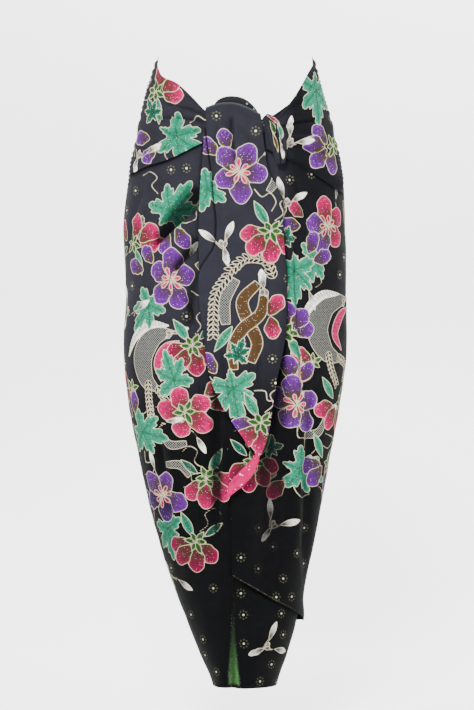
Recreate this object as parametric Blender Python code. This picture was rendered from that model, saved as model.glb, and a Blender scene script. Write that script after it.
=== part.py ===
"""A batik sarong: one long cloth wound round the hips and tied low in front, worn with no wearer in it.

Metres, +Z up. The front faces -Y and +X is the viewer's right. The origin is on the wearer's axis, at
the height where the tied waist grips, halfway between the knot and the two peaks over the hips.
Every stretch of cloth is a grid of points on one general figure, lifted off it by its place in the
winding, creased by the folds that cross it, and given a wall by Solidify.
"""

from collections import namedtuple

import bpy
import numpy as np

# ---- Driving sizes -------------------------------------------------------------------------------
CLOTH = 0.0012  # wall of one layer of cotton, with its hem and wax finish
SEAM = 0.0008  # gap where two stretches of the same cloth meet, with room for their facets
SEAM_TURN = 0.0045  # the same gap at the sides, as an angle round the figure
OVER_LIFT = 0.0055  # the outer end of the cloth lies this far off the inner one
HEM_Z = -0.988  # the lowest hem
SIDE_HEM_Z = -0.879  # the outer end's hem at the right side
KICK_FROM_Z, KICK_FULL_Z = -0.840, -0.880  # the outer hem begins to stand off, and stands off fully
UNDER_SINK = 0.006  # the inner end lies closer in where the outer end covers it
UNDER_END_HIGH, UNDER_END_LOW = 0.22, 1.95  # angles at which the inner end stops, high up and low down
TURN_IN = 0.0025  # the waist's lower fold is turned in by this much
HEM_KICK = 0.0065  # the outer hem stands off at the side by this much more
SIDE = np.pi / 2  # the angle round the figure from the front to its right side

# The general figure: how far the cloth reaches from the wearer's axis at each height.
Section = namedtuple("Section", "z left right front back")
SECTIONS = (
    Section(-1.040, 0.030, 0.058, 0.058, 0.066),
    Section(-0.988, 0.038, 0.069, 0.062, 0.070),
    Section(-0.931, 0.062, 0.088, 0.069, 0.076),
    Section(-0.880, 0.082, 0.102, 0.076, 0.082),
    Section(-0.811, 0.108, 0.113, 0.085, 0.091),
    Section(-0.711, 0.138, 0.134, 0.096, 0.102),
    Section(-0.610, 0.161, 0.152, 0.107, 0.113),
    Section(-0.510, 0.180, 0.171, 0.117, 0.124),
    Section(-0.430, 0.187, 0.180, 0.122, 0.133),
    Section(-0.346, 0.183, 0.180, 0.126, 0.143),
    Section(-0.199, 0.186, 0.177, 0.125, 0.149),
    Section(-0.129, 0.176, 0.172, 0.121, 0.138),
    Section(-0.089, 0.168, 0.164, 0.117, 0.128),
    Section(-0.048, 0.160, 0.154, 0.111, 0.117),
    Section(-0.008, 0.150, 0.142, 0.104, 0.106),
    Section(0.022, 0.141, 0.134, 0.098, 0.098),
    Section(0.060, 0.130, 0.124, 0.092, 0.090),
    Section(0.090, 0.126, 0.120, 0.090, 0.088),
)

# The lines drawn round the front by the tie, by the angle from the front centre: the rim is the
# waist's top edge, and the tuck is where the cloth above laps over the cloth below.
Line = namedtuple("Line", "degrees rim tuck")
FRONT_LINES = (
    Line(-90, 0.060, -0.141),
    Line(-65, 0.035, -0.135),
    Line(-57, 0.022, -0.130),
    Line(-37, 0.002, -0.118),
    Line(-27, -0.018, -0.106),
    Line(-18, -0.041, -0.094),
    Line(0, -0.060, -0.088),
    Line(23, -0.057, -0.113),
    Line(31, -0.038, -0.122),
    Line(39, -0.018, -0.132),
    Line(47, 0.002, -0.145),
    Line(56, 0.022, -0.156),
    Line(63, 0.033, -0.163),
    Line(90, 0.060, -0.172),
)
# The rim across the back, by the angle from the back centre, the same to both sides.
BackLine = namedtuple("BackLine", "degrees rim")
BACK_LINES = (
    BackLine(0, -0.036),
    BackLine(23, -0.030),
    BackLine(35, -0.015),
    BackLine(47, 0.000),
    BackLine(57, 0.016),
    BackLine(65, 0.030),
    BackLine(90, 0.060),
)
LAP = 0.028  # how far the cloth below runs up behind the tuck, in front

# The tail is the cloth's free end, falling from the knot. Across it: the outer edge of the pleat
# behind, the tail's own left fold, and its right fold.
TailRow = namedtuple("TailRow", "z pleat left right")
TAIL = (
    TailRow(-0.040, -0.048, -0.047, 0.038),
    TailRow(-0.095, -0.050, -0.043, 0.044),
    TailRow(-0.145, -0.054, -0.036, 0.053),
    TailRow(-0.175, -0.056, -0.034, 0.069),
    TailRow(-0.231, -0.058, -0.029, 0.074),
    TailRow(-0.262, -0.058, -0.032, 0.076),
    TailRow(-0.300, -0.057, -0.054, 0.079),
    TailRow(-0.346, -0.056, -0.056, 0.080),
    TailRow(-0.413, -0.048, -0.048, 0.077),
    TailRow(-0.477, -0.038, -0.038, 0.064),
    TailRow(-0.512, -0.024, -0.024, 0.058),
    TailRow(-0.547, -0.004, -0.004, 0.053),
    TailRow(-0.575, 0.014, 0.014, 0.047),
    TailRow(-0.598, 0.027, 0.027, 0.038),
)
TAIL_LIFT = 0.0115  # the tail lies this far off the figure
TAIL_PLUMB = 0.45  # share of the figure's taper that the hanging tail doesn't follow
TAIL_ARCH = (-0.036, -0.030, -0.028, -0.030, -0.037, -0.047)  # the tail's top, left to right
TAIL_HOOK = 0.022  # how far the tail runs down again behind the waist

# The largest folds. Each runs straight from one place to another in the front or the back view.
# A trough sinks, a ridge stands up, and a swag is a trough with a sharp upper side.
Fold = namedtuple("Fold", "face kind x0 z0 x1 z1 wide0 wide1 deep")
FOLDS = (
    Fold("front", "swag", -0.050, -0.186, -0.127, -0.252, 0.026, 0.009, 0.013),
    Fold("front", "swag", -0.052, -0.256, -0.100, -0.302, 0.020, 0.008, 0.010),
    Fold("front", "trough", -0.064, -0.300, -0.078, -0.395, 0.012, 0.008, 0.008),
    Fold("front", "trough", -0.028, -0.450, -0.030, -0.730, 0.010, 0.008, 0.009),
    Fold("front", "ridge", -0.052, -0.380, -0.056, -0.760, 0.008, 0.006, 0.003),
    Fold("front", "trough", 0.058, -0.330, 0.052, -0.800, 0.016, 0.028, 0.015),
    Fold("front", "ridge", 0.081, -0.170, 0.098, -0.480, 0.009, 0.009, 0.005),
    Fold("front", "trough", 0.094, -0.250, 0.108, -0.500, 0.006, 0.006, 0.006),
    Fold("front", "trough", 0.088, -0.150, 0.124, -0.250, 0.007, 0.006, 0.005),
    Fold("front", "ridge", 0.102, -0.530, 0.098, -0.740, 0.010, 0.010, 0.004),
    Fold("front", "trough", 0.124, -0.500, 0.112, -0.790, 0.009, 0.007, 0.007),
    Fold("front", "ridge", -0.108, -0.560, -0.084, -0.780, 0.010, 0.008, 0.004),
    Fold("front", "trough", -0.002, -0.800, -0.006, -1.020, 0.006, 0.013, 0.009),
    Fold("back", "trough", 0.060, -0.120, 0.052, -0.620, 0.018, 0.014, 0.008),
    Fold("back", "ridge", 0.020, -0.160, 0.008, -0.840, 0.016, 0.012, 0.006),
    Fold("back", "trough", -0.030, -0.090, -0.040, -0.720, 0.017, 0.012, 0.009),
    Fold("back", "trough", -0.105, -0.200, -0.072, -0.800, 0.016, 0.010, 0.007),
    Fold("back", "ridge", -0.078, -0.260, -0.060, -0.900, 0.014, 0.009, 0.004),
    Fold("back", "trough", 0.112, -0.260, 0.074, -0.880, 0.015, 0.010, 0.006),
)

# Rolled stretches of the tie: places on the figure, lift off it, and the roll's two thicknesses.
Turn = namedtuple("Turn", "x z lift wide thick")
KNOT_TURN = (
    Turn(0.044, -0.054, 0.0185, 0.006, 0.004),
    Turn(0.051, -0.062, 0.0200, 0.010, 0.006),
    Turn(0.057, -0.074, 0.0220, 0.013, 0.007),
    Turn(0.062, -0.092, 0.0230, 0.014, 0.007),
    Turn(0.066, -0.112, 0.0220, 0.012, 0.006),
    Turn(0.068, -0.130, 0.0200, 0.007, 0.004),
)
KNOT_ROLL = (
    Turn(-0.036, -0.034, -0.012, 0.003, 0.003),
    Turn(-0.024, -0.026, -0.011, 0.005, 0.004),
    Turn(-0.008, -0.024, -0.011, 0.005, 0.004),
    Turn(0.010, -0.028, -0.011, 0.005, 0.004),
    Turn(0.028, -0.040, -0.012, 0.005, 0.004),
    Turn(0.040, -0.052, -0.013, 0.003, 0.003),
)
TAIL_TIP = (
    Turn(0.032, -0.602, 0.019, 0.004, 0.003),
    Turn(0.026, -0.616, 0.019, 0.006, 0.003),
    Turn(0.010, -0.636, 0.018, 0.007, 0.003),
    Turn(-0.006, -0.654, 0.017, 0.006, 0.003),
    Turn(-0.013, -0.666, 0.016, 0.003, 0.002),
)

BLACK_BATIK = (0.017, 0.018, 0.024, 1.0)
ROSE_BATIK = (0.55, 0.06, 0.17, 1.0)
PALE_BATIK = (0.20, 0.19, 0.18, 1.0)


# ---- Reading the tables --------------------------------------------------------------------------
def ease(value, start, end):
    """0 before start and 1 after end, turning smoothly between them; start may be the larger."""
    t = np.clip((value - start) / (end - start), 0.0, 1.0)
    return t * t * (3.0 - 2.0 * t)


def smooth_read(at, keys, values):
    """A smooth curve through a table's rows: cubic stretches whose slopes are the chords' means."""
    order = np.argsort(keys)
    keys, values = np.asarray(keys, float)[order], np.asarray(values, float)[order]
    slopes = np.gradient(values, keys)
    at = np.clip(at, keys[0], keys[-1])
    i = np.clip(np.searchsorted(keys, at) - 1, 0, len(keys) - 2)
    span = keys[i + 1] - keys[i]
    t = (at - keys[i]) / span
    rise = t * t * (3.0 - 2.0 * t)
    bend_in = t * (1.0 - t) ** 2 * span * slopes[i]
    bend_out = t * t * (1.0 - t) * span * slopes[i + 1]
    return values[i] * (1.0 - rise) + values[i + 1] * rise + bend_in - bend_out


def column(rows, name):
    return [getattr(row, name) for row in rows]


def reach(z, name):
    """How far the figure reaches to one side at each height."""
    return smooth_read(z, column(SECTIONS, "z"), column(SECTIONS, name))


def front_line(theta, name):
    return smooth_read(np.degrees(theta), column(FRONT_LINES, "degrees"), column(FRONT_LINES, name))


def back_rim(theta):
    from_centre = np.abs(np.degrees(theta) - 180.0)
    return smooth_read(from_centre, column(BACK_LINES, "degrees"), column(BACK_LINES, "rim"))


# ---- The figure and its folds --------------------------------------------------------------------
def across(theta, z):
    """The figure's half width on the side that the angle is on."""
    return np.where(np.sin(theta) < 0.0, reach(z, "left"), reach(z, "right"))


def figure(theta, z):
    """A point on the figure: four quarter ellipses at each height, joined smoothly."""
    deep = np.where(np.cos(theta) > 0.0, reach(z, "front"), reach(z, "back"))
    return np.stack([across(theta, z) * np.sin(theta), -deep * np.cos(theta), z], axis=-1)


def outward(theta, z):
    """The direction off the figure, from its slopes round and up."""
    step = 1e-4
    round_it = figure(theta + step, z) - figure(theta - step, z)
    up_it = figure(theta, z + step) - figure(theta, z - step)
    normal = np.cross(round_it, up_it)
    return normal / np.linalg.norm(normal, axis=-1, keepdims=True)


def angle_at(x, z):
    """The front angle at which the figure is x from the axis."""
    half = np.where(x < 0.0, reach(z, "left"), reach(z, "right"))
    return np.arcsin(np.clip(x / half, -1.0, 1.0))


def one_fold(fold, x, z):
    """The rise of the cloth at one fold, by the distance from its line and the way along it."""
    run_x, run_z = fold.x1 - fold.x0, fold.z1 - fold.z0
    length = np.hypot(run_x, run_z)
    along = ((x - fold.x0) * run_x + (z - fold.z0) * run_z) / length**2
    aside = ((x - fold.x0) * run_z - (z - fold.z0) * run_x) / length
    wide = fold.wide0 + (fold.wide1 - fold.wide0) * np.clip(along, 0.0, 1.0)
    if fold.kind == "swag":
        wide = np.where(aside < 0.0, wide * 0.35, wide)
    ends = ease(along, -0.12, 0.12) * ease(along, 1.12, 0.88)
    sign = 1.0 if fold.kind == "ridge" else -1.0
    return sign * fold.deep * np.exp(-((aside / wide) ** 2)) * ends


def folds(theta, z):
    """All the folds that cross a place. They fade out at the sides, where the two views meet."""
    x = across(theta, z) * np.sin(theta)
    total = np.zeros_like(x)
    for fold in FOLDS:
        facing = np.cos(theta) if fold.face == "front" else -np.cos(theta)
        total = total + one_fold(fold, x, z) * ease(facing, 0.05, 0.35)
    return total


def place(theta, z, lift, creased=True):
    """Points lifted off the figure, and off its folds where the cloth follows them."""
    rise = lift + (folds(theta, z) if creased else 0.0)
    return figure(theta, z) + outward(theta, z) * np.asarray(rise)[..., None]


# ---- Making solids -------------------------------------------------------------------------------
def finish(name, mesh, colour):
    obj = bpy.data.objects.new(name, mesh)
    bpy.context.scene.collection.objects.link(obj)
    material = bpy.data.materials.new(name)
    material.use_nodes = True
    shader = material.node_tree.nodes["Principled BSDF"]
    shader.inputs["Base Color"].default_value = colour
    shader.inputs["Roughness"].default_value = 0.62
    shader.inputs["Metallic"].default_value = 0.0
    mesh.materials.append(material)
    mesh.shade_smooth()
    mesh.set_sharp_from_angle(angle=np.radians(50))
    return obj


def wall(name, points, colour=BLACK_BATIK):
    """One stretch of cloth: a grid of outer points, rows from the top and columns to the viewer's
    right, thickened inwards."""
    rows, columns = points.shape[:2]
    corner = np.arange(rows * columns).reshape(rows, columns)
    quads = np.stack(
        [corner[:-1, :-1], corner[1:, :-1], corner[1:, 1:], corner[:-1, 1:]], axis=-1
    )
    mesh = bpy.data.meshes.new(name)
    mesh.from_pydata(points.reshape(-1, 3).tolist(), [], quads.reshape(-1, 4).tolist())
    obj = finish(name, mesh, colour)
    thickness = obj.modifiers.new("cloth", "SOLIDIFY")
    thickness.thickness = CLOTH
    thickness.offset = -1.0
    return obj


def roll(name, turns, colour, rings=10, sides=8):
    """A tight roll of cloth: an oval ring carried along the tie's path, closed at both ends."""
    along = np.linspace(0.0, 1.0, len(turns))
    at = np.linspace(0.0, 1.0, rings)
    x, z, lift, wide, thick = (smooth_read(at, along, column(turns, key)) for key in Turn._fields)
    theta = angle_at(x, z)
    centre = place(theta, z, lift, creased=False)
    run = np.gradient(centre, axis=0)
    run /= np.linalg.norm(run, axis=1, keepdims=True)
    off = outward(theta, z)
    side = np.cross(run, off)
    side /= np.linalg.norm(side, axis=1, keepdims=True)
    up = np.cross(side, run)
    turn = np.linspace(0.0, 2.0 * np.pi, sides, endpoint=False)
    points = (
        centre[:, None]
        + side[:, None] * (wide[:, None] * np.cos(turn))[..., None]
        + up[:, None] * (thick[:, None] * np.sin(turn))[..., None]
    )
    corner = np.arange(rings * sides).reshape(rings, sides)
    after = np.roll(corner, -1, axis=1)
    quads = np.stack([corner[:-1], corner[1:], after[1:], after[:-1]], axis=-1).reshape(-1, 4)
    faces = quads.tolist() + [corner[0].tolist(), corner[-1, ::-1].tolist()]
    mesh = bpy.data.meshes.new(name)
    mesh.from_pydata(points.reshape(-1, 3).tolist(), [], faces)
    return finish(name, mesh, colour)


def spaced(start, end, count, crowd=0.0):
    """Fractions from start to end, crowded towards the start (crowd above 0) or left even."""
    t = np.linspace(0.0, 1.0, count)
    return start + (end - start) * ((1.0 - crowd) * t + crowd * t * t)


def between(first, last, share):
    return first + (last - first) * share


# ---- The stretches of cloth ----------------------------------------------------------------------
def over_lift(theta):
    """The winding's spiral round the back: outer at the right side, inner at the left side."""
    return OVER_LIFT * ease(theta, 3.0 * SIDE, SIDE)


def lapped_top(theta):
    """Where the cloth below the tuck begins: behind the waist in front, and just under it at the side."""
    return front_line(theta, "tuck") + between(-SEAM, LAP, ease(np.abs(theta), 1.25, 0.95))


def wrap_under():
    """The inner end: from the left side across the front, and low down on round to the back."""
    share = np.linspace(0.0, 1.0, 27)
    down = spaced(0.0, 1.0, 27, crowd=0.45)[:, None]
    z_guess = between(-0.10, HEM_Z, down)
    end = between(UNDER_END_HIGH, UNDER_END_LOW, ease(z_guess, -0.50, -0.86))
    theta = -SIDE + (end + SIDE) * share[None, :]
    top = lapped_top(np.minimum(theta, 0.30))
    z = between(top, HEM_Z, down)
    covered = ease(theta, 0.0, 0.25) * ease(z, -0.86, -0.80)
    return wall("wrap_under", place(theta, z, -UNDER_SINK * covered))


def wrap_back():
    """The stretch round the back, from the right side to the left side."""
    theta = np.linspace(SIDE + SEAM_TURN, 3.0 * SIDE - SEAM_TURN, 23)[None, :]
    down = spaced(0.0, 1.0, 20, crowd=0.25)[:, None]
    hem = between(SIDE_HEM_Z, HEM_Z, ease(theta, SIDE, 3.0 * SIDE))
    theta = theta + 0.0 * down
    z = between(back_rim(theta), hem, down)
    kick = HEM_KICK * ease(z, KICK_FROM_Z, KICK_FULL_Z) * ease(theta, SIDE + 0.7, SIDE)
    return wall("wrap_back", place(theta, z, over_lift(theta) + kick))


def wrap_over():
    """The outer end: from the right side across to its free edge, which the tail covers higher up."""
    down = spaced(0.0, 1.0, 26, crowd=0.35)[:, None]
    z_guess = between(-0.10, -0.82, down)
    edge_x = smooth_read(z_guess, (-0.82, -0.70, -0.60, -0.40, -0.10), (-0.004, -0.007, -0.012, 0.0, 0.024))
    share = np.linspace(0.0, 1.0, 18)[None, :]
    theta = between(angle_at(edge_x, z_guess), SIDE - SEAM_TURN / 4, share)
    hem = smooth_read(theta, (-0.1, 0.58, SIDE), (-0.796, -0.839, SIDE_HEM_Z))
    z = between(lapped_top(theta), hem, down)
    kick = HEM_KICK * ease(z, KICK_FROM_Z, KICK_FULL_Z) * ease(theta, SIDE - 0.7, SIDE)
    return wall("wrap_over", place(theta, z, OVER_LIFT + kick))


def waist(name, knot_angle, side_lift, knot_lift):
    """The waist's own stretch from one side to the knot, its lower fold turned in over the tuck."""
    side_angle = np.sign(knot_angle) * (SIDE - SEAM_TURN / 4)
    share = np.linspace(0.0, 1.0, 10)
    theta = between(side_angle, knot_angle, share)[None, :]
    if knot_angle > 0.0:
        theta = theta[:, ::-1]
    # Down the cloth: from the rim to the fold, then the fold's turn.
    down = np.array([0.0, 0.14, 0.28, 0.42, 0.56, 0.70, 0.84, 0.95, 0.98, 1.0])[:, None]
    tucked = np.array([0, 0, 0, 0, 0, 0, 0, 0, 0.5, 1.0])[:, None]
    theta = theta + 0.0 * down
    lift = between(side_lift, knot_lift, ease(np.abs(theta), 1.52, 1.22))
    lapping = ease(np.abs(theta), 1.50, 1.30)
    z = between(front_line(theta, "rim"), front_line(theta, "tuck"), down)
    return wall(name, place(theta, z, lift - TURN_IN * tucked * lapping, creased=False))


def tail_lift(z):
    """The tail lies on the wrap high up, and hangs nearly plumb where the figure narrows."""
    return TAIL_LIFT + TAIL_PLUMB * (reach(-0.346, "front") - reach(np.minimum(z, -0.346), "front"))


def front_tail():
    """The free end: it comes over the waist as an arch and falls to a narrow end."""
    share = np.linspace(0.0, 1.0, 11)[None, :]
    arch = smooth_read(share, np.linspace(0.0, 1.0, len(TAIL_ARCH)), TAIL_ARCH)
    fall = np.linspace(0.0, 1.0, 22)[:, None]
    z = between(arch - 0.006, TAIL[-1].z, fall)
    left = smooth_read(z, column(TAIL, "z"), column(TAIL, "left"))
    right = smooth_read(z, column(TAIL, "z"), column(TAIL, "right"))
    x = between(left, right, share)
    lift = tail_lift(z) + 0.0016 * np.sin(9.0 * share + 1.0) * ease(fall, 0.02, 0.2)
    front = place(angle_at(x, z), z, lift, creased=False)
    # Over the arch and down behind it.
    back_z = np.concatenate([arch - TAIL_HOOK, arch - 0.008, arch - 0.001, arch])
    back_lift = np.array([-0.0048, -0.0036, 0.0020, 0.0080])[:, None] + 0.0 * share
    back_x = x[:1] + 0.0 * back_z
    hook = place(angle_at(back_x, back_z), back_z, back_lift, creased=False)
    return wall("front_tail", np.concatenate([hook, front]))


def tail_pleat():
    """The pleat that shows behind the tail's left fold."""
    share = np.linspace(0.0, 1.0, 4)[None, :]
    z = np.linspace(-0.072, -0.400, 12)[:, None]
    outer = smooth_read(z, column(TAIL, "z"), column(TAIL, "pleat"))
    inner = smooth_read(z, column(TAIL, "z"), column(TAIL, "left")) + 0.010
    x = between(outer, np.maximum(inner, outer + 0.006), share)
    z = z + 0.0 * share
    lift = TAIL_LIFT - 0.0032 + 0.0 * share
    return wall("tail_pleat", place(angle_at(x, z), z, lift, creased=False))


def main():
    for obj in list(bpy.data.objects):
        bpy.data.objects.remove(obj)
    wrap_under()
    wrap_back()
    wrap_over()
    waist("waist_left", -0.27, 0.0, 0.0065)
    waist("waist_right", 0.29, OVER_LIFT, 0.0110)
    front_tail()
    tail_pleat()
    roll("knot_turn", KNOT_TURN, BLACK_BATIK)
    roll("knot_roll", KNOT_ROLL, PALE_BATIK)
    roll("tail_tip", TAIL_TIP, ROSE_BATIK)


main()
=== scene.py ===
"""The looks of a worn batik sarong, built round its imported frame.

Each stretch of the cloth is a fine grid of points on the same general figure as the frame's, lifted off
it by its place in the winding and creased by its folds. The batik is drawn in code: every petal, leaf,
ribbon and tendril is an outline worked out on the flat cloth, and each grid point keeps its distance to
the nearest dyed edge and wax line, so the material can draw both with crisp edges.

Lengths are in metres, and +Z is up. Places in the tables of the drawing are in millimetres, across and
up from the frame's origin, as they are seen from the camera.
"""

from collections import namedtuple

import bpy
import numpy as np
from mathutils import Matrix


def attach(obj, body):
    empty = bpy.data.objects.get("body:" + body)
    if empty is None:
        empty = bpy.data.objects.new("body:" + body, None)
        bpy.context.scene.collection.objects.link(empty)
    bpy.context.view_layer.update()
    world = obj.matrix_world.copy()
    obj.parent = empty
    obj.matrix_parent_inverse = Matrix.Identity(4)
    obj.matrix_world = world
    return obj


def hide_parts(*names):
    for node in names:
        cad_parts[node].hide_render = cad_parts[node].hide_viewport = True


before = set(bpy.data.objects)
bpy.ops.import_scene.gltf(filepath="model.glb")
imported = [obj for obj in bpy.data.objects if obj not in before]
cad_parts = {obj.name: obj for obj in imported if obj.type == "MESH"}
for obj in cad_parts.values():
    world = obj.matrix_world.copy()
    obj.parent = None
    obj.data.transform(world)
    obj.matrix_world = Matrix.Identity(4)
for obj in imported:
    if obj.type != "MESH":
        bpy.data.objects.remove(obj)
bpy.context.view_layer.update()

# ---- Driving sizes -------------------------------------------------------------------------------
WALL = 0.0009
OVER_LIFT = 0.0055
UNDER_SINK = 0.006
HEM_Z = -0.988
SIDE_HEM_Z = -0.879
HEM_KICK = 0.0065
KICK_FROM_Z, KICK_FULL_Z, KICK_REACH = -0.840, -0.880, 0.7
HEM_HIGHLIGHT_IN, HEM_HIGHLIGHT_HALF = 0.0022, 0.0003
SIDE = np.pi / 2
CAMERA_AWAY = 4.0
CAMERA_X, CAMERA_Z = 0.0025, -0.438
VIEW_HIGH = 1.187
MM = 0.001

Section = namedtuple("Section", "z left right front back")
SECTIONS = (
    Section(-1.040, 0.030, 0.058, 0.058, 0.066),
    Section(-0.988, 0.038, 0.069, 0.062, 0.070),
    Section(-0.931, 0.062, 0.088, 0.069, 0.076),
    Section(-0.880, 0.082, 0.102, 0.076, 0.082),
    Section(-0.811, 0.108, 0.113, 0.085, 0.091),
    Section(-0.711, 0.138, 0.134, 0.096, 0.102),
    Section(-0.610, 0.161, 0.152, 0.107, 0.113),
    Section(-0.510, 0.180, 0.171, 0.117, 0.124),
    Section(-0.430, 0.187, 0.180, 0.122, 0.133),
    Section(-0.346, 0.183, 0.180, 0.126, 0.143),
    Section(-0.199, 0.186, 0.177, 0.125, 0.149),
    Section(-0.129, 0.176, 0.172, 0.121, 0.138),
    Section(-0.089, 0.168, 0.164, 0.117, 0.128),
    Section(-0.048, 0.160, 0.154, 0.111, 0.117),
    Section(-0.008, 0.150, 0.142, 0.104, 0.106),
    Section(0.022, 0.141, 0.134, 0.098, 0.098),
    Section(0.060, 0.130, 0.124, 0.092, 0.090),
    Section(0.090, 0.126, 0.120, 0.090, 0.088),
)

Line = namedtuple("Line", "degrees rim tuck")
FRONT_LINES = (
    Line(-90, 0.060, -0.141),
    Line(-65, 0.035, -0.135),
    Line(-57, 0.022, -0.130),
    Line(-37, 0.002, -0.118),
    Line(-27, -0.018, -0.106),
    Line(-18, -0.041, -0.094),
    Line(0, -0.060, -0.088),
    Line(23, -0.057, -0.113),
    Line(31, -0.038, -0.122),
    Line(39, -0.018, -0.132),
    Line(47, 0.002, -0.145),
    Line(56, 0.022, -0.156),
    Line(63, 0.033, -0.163),
    Line(90, 0.060, -0.172),
)
BackLine = namedtuple("BackLine", "degrees rim")
BACK_LINES = (
    BackLine(0, -0.036),
    BackLine(23, -0.030),
    BackLine(35, -0.015),
    BackLine(47, 0.000),
    BackLine(57, 0.016),
    BackLine(65, 0.030),
    BackLine(90, 0.060),
)
LAP = 0.028

# The outer end: its free edge, and its hem, which rises towards that edge.
Edge = namedtuple("Edge", "z x")
OVER_EDGE = (
    Edge(-0.82, -0.004),
    Edge(-0.70, -0.007),
    Edge(-0.60, -0.012),
    Edge(-0.40, 0.0),
    Edge(-0.10, 0.024),
)
Hem = namedtuple("Hem", "theta z")
OVER_HEM = (
    Hem(-0.1, -0.796),
    Hem(0.58, -0.839),
    Hem(SIDE, SIDE_HEM_Z),
)

TailRow = namedtuple("TailRow", "z pleat left right")
TAIL = (
    TailRow(-0.040, -0.048, -0.047, 0.038),
    TailRow(-0.095, -0.050, -0.043, 0.044),
    TailRow(-0.145, -0.054, -0.036, 0.053),
    TailRow(-0.175, -0.056, -0.034, 0.069),
    TailRow(-0.231, -0.058, -0.029, 0.074),
    TailRow(-0.262, -0.058, -0.032, 0.076),
    TailRow(-0.300, -0.057, -0.054, 0.079),
    TailRow(-0.346, -0.056, -0.056, 0.080),
    TailRow(-0.413, -0.048, -0.048, 0.077),
    TailRow(-0.477, -0.038, -0.038, 0.064),
    TailRow(-0.512, -0.024, -0.024, 0.058),
    TailRow(-0.547, -0.004, -0.004, 0.053),
    TailRow(-0.575, 0.014, 0.014, 0.047),
    TailRow(-0.598, 0.027, 0.027, 0.038),
)
TAIL_LIFT = 0.0115
TAIL_PLUMB = 0.45
TAIL_ARCH = (-0.036, -0.030, -0.028, -0.030, -0.037, -0.047)
TAIL_HOOK = 0.022

# The folds. Each runs from one place to another in the front or the back view, bowed to one side.
Fold = namedtuple("Fold", "face kind x0 z0 x1 z1 bow wide0 wide1 deep")
FOLDS = (
    Fold("front", "swag", -0.046, -0.182, -0.130, -0.256, 0.004, 0.030, 0.011, 0.024),
    Fold("front", "swag", -0.052, -0.256, -0.100, -0.302, 0.003, 0.020, 0.008, 0.014),
    Fold("front", "trough", -0.064, -0.300, -0.078, -0.395, 0.002, 0.012, 0.008, 0.008),
    Fold("front", "crease", -0.150, -0.160, -0.176, -0.260, 0.004, 0.007, 0.004, 0.003),
    Fold("front", "crease", -0.088, -0.330, -0.060, -0.420, -0.004, 0.006, 0.004, 0.004),
    Fold("front", "trough", -0.026, -0.430, -0.032, -0.730, 0.002, 0.011, 0.009, 0.014),
    Fold("front", "step", -0.058, -0.400, -0.057, -0.775, 0.002, 0.012, 0.010, 0.003),
    Fold("front", "trough", 0.066, -0.290, 0.052, -0.800, -0.004, 0.014, 0.028, 0.018),
    Fold("front", "step", 0.094, -0.440, 0.066, -0.150, 0.002, 0.016, 0.010, 0.004),
    Fold("front", "ridge", 0.081, -0.170, 0.098, -0.480, 0.002, 0.009, 0.009, 0.005),
    Fold("front", "crease", 0.094, -0.250, 0.108, -0.500, 0.002, 0.005, 0.004, 0.007),
    Fold("front", "crease", 0.088, -0.150, 0.124, -0.250, -0.003, 0.006, 0.005, 0.005),
    Fold("front", "ridge", 0.102, -0.530, 0.098, -0.740, 0.002, 0.010, 0.010, 0.004),
    Fold("front", "trough", 0.124, -0.500, 0.112, -0.790, 0.003, 0.009, 0.007, 0.007),
    Fold("front", "ridge", -0.108, -0.560, -0.084, -0.780, 0.003, 0.010, 0.008, 0.004),
    Fold("front", "crease", -0.128, -0.520, -0.104, -0.700, 0.003, 0.007, 0.005, 0.003),
    Fold("front", "trough", -0.002, -0.800, -0.006, -1.020, 0.001, 0.006, 0.013, 0.009),
    Fold("back", "trough", 0.060, -0.120, 0.052, -0.620, 0.008, 0.018, 0.014, 0.008),
    Fold("back", "ridge", 0.020, -0.160, 0.008, -0.840, -0.005, 0.016, 0.012, 0.006),
    Fold("back", "trough", -0.030, -0.090, -0.040, -0.720, 0.006, 0.017, 0.012, 0.009),
    Fold("back", "trough", -0.105, -0.200, -0.072, -0.800, -0.006, 0.016, 0.010, 0.007),
    Fold("back", "ridge", -0.078, -0.260, -0.060, -0.900, 0.004, 0.014, 0.009, 0.004),
    Fold("back", "trough", 0.112, -0.260, 0.074, -0.880, 0.007, 0.015, 0.010, 0.006),
    Fold("back", "swag", 0.020, -0.110, 0.100, -0.200, 0.006, 0.014, 0.008, 0.006),
    Fold("back", "swag", -0.010, -0.120, -0.110, -0.230, 0.008, 0.016, 0.008, 0.006),
    Fold("back", "crease", 0.035, -0.400, 0.030, -0.700, 0.003, 0.006, 0.005, 0.004),
    Fold("back", "crease", -0.055, -0.500, -0.020, -0.860, -0.004, 0.006, 0.005, 0.004),
)
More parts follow.
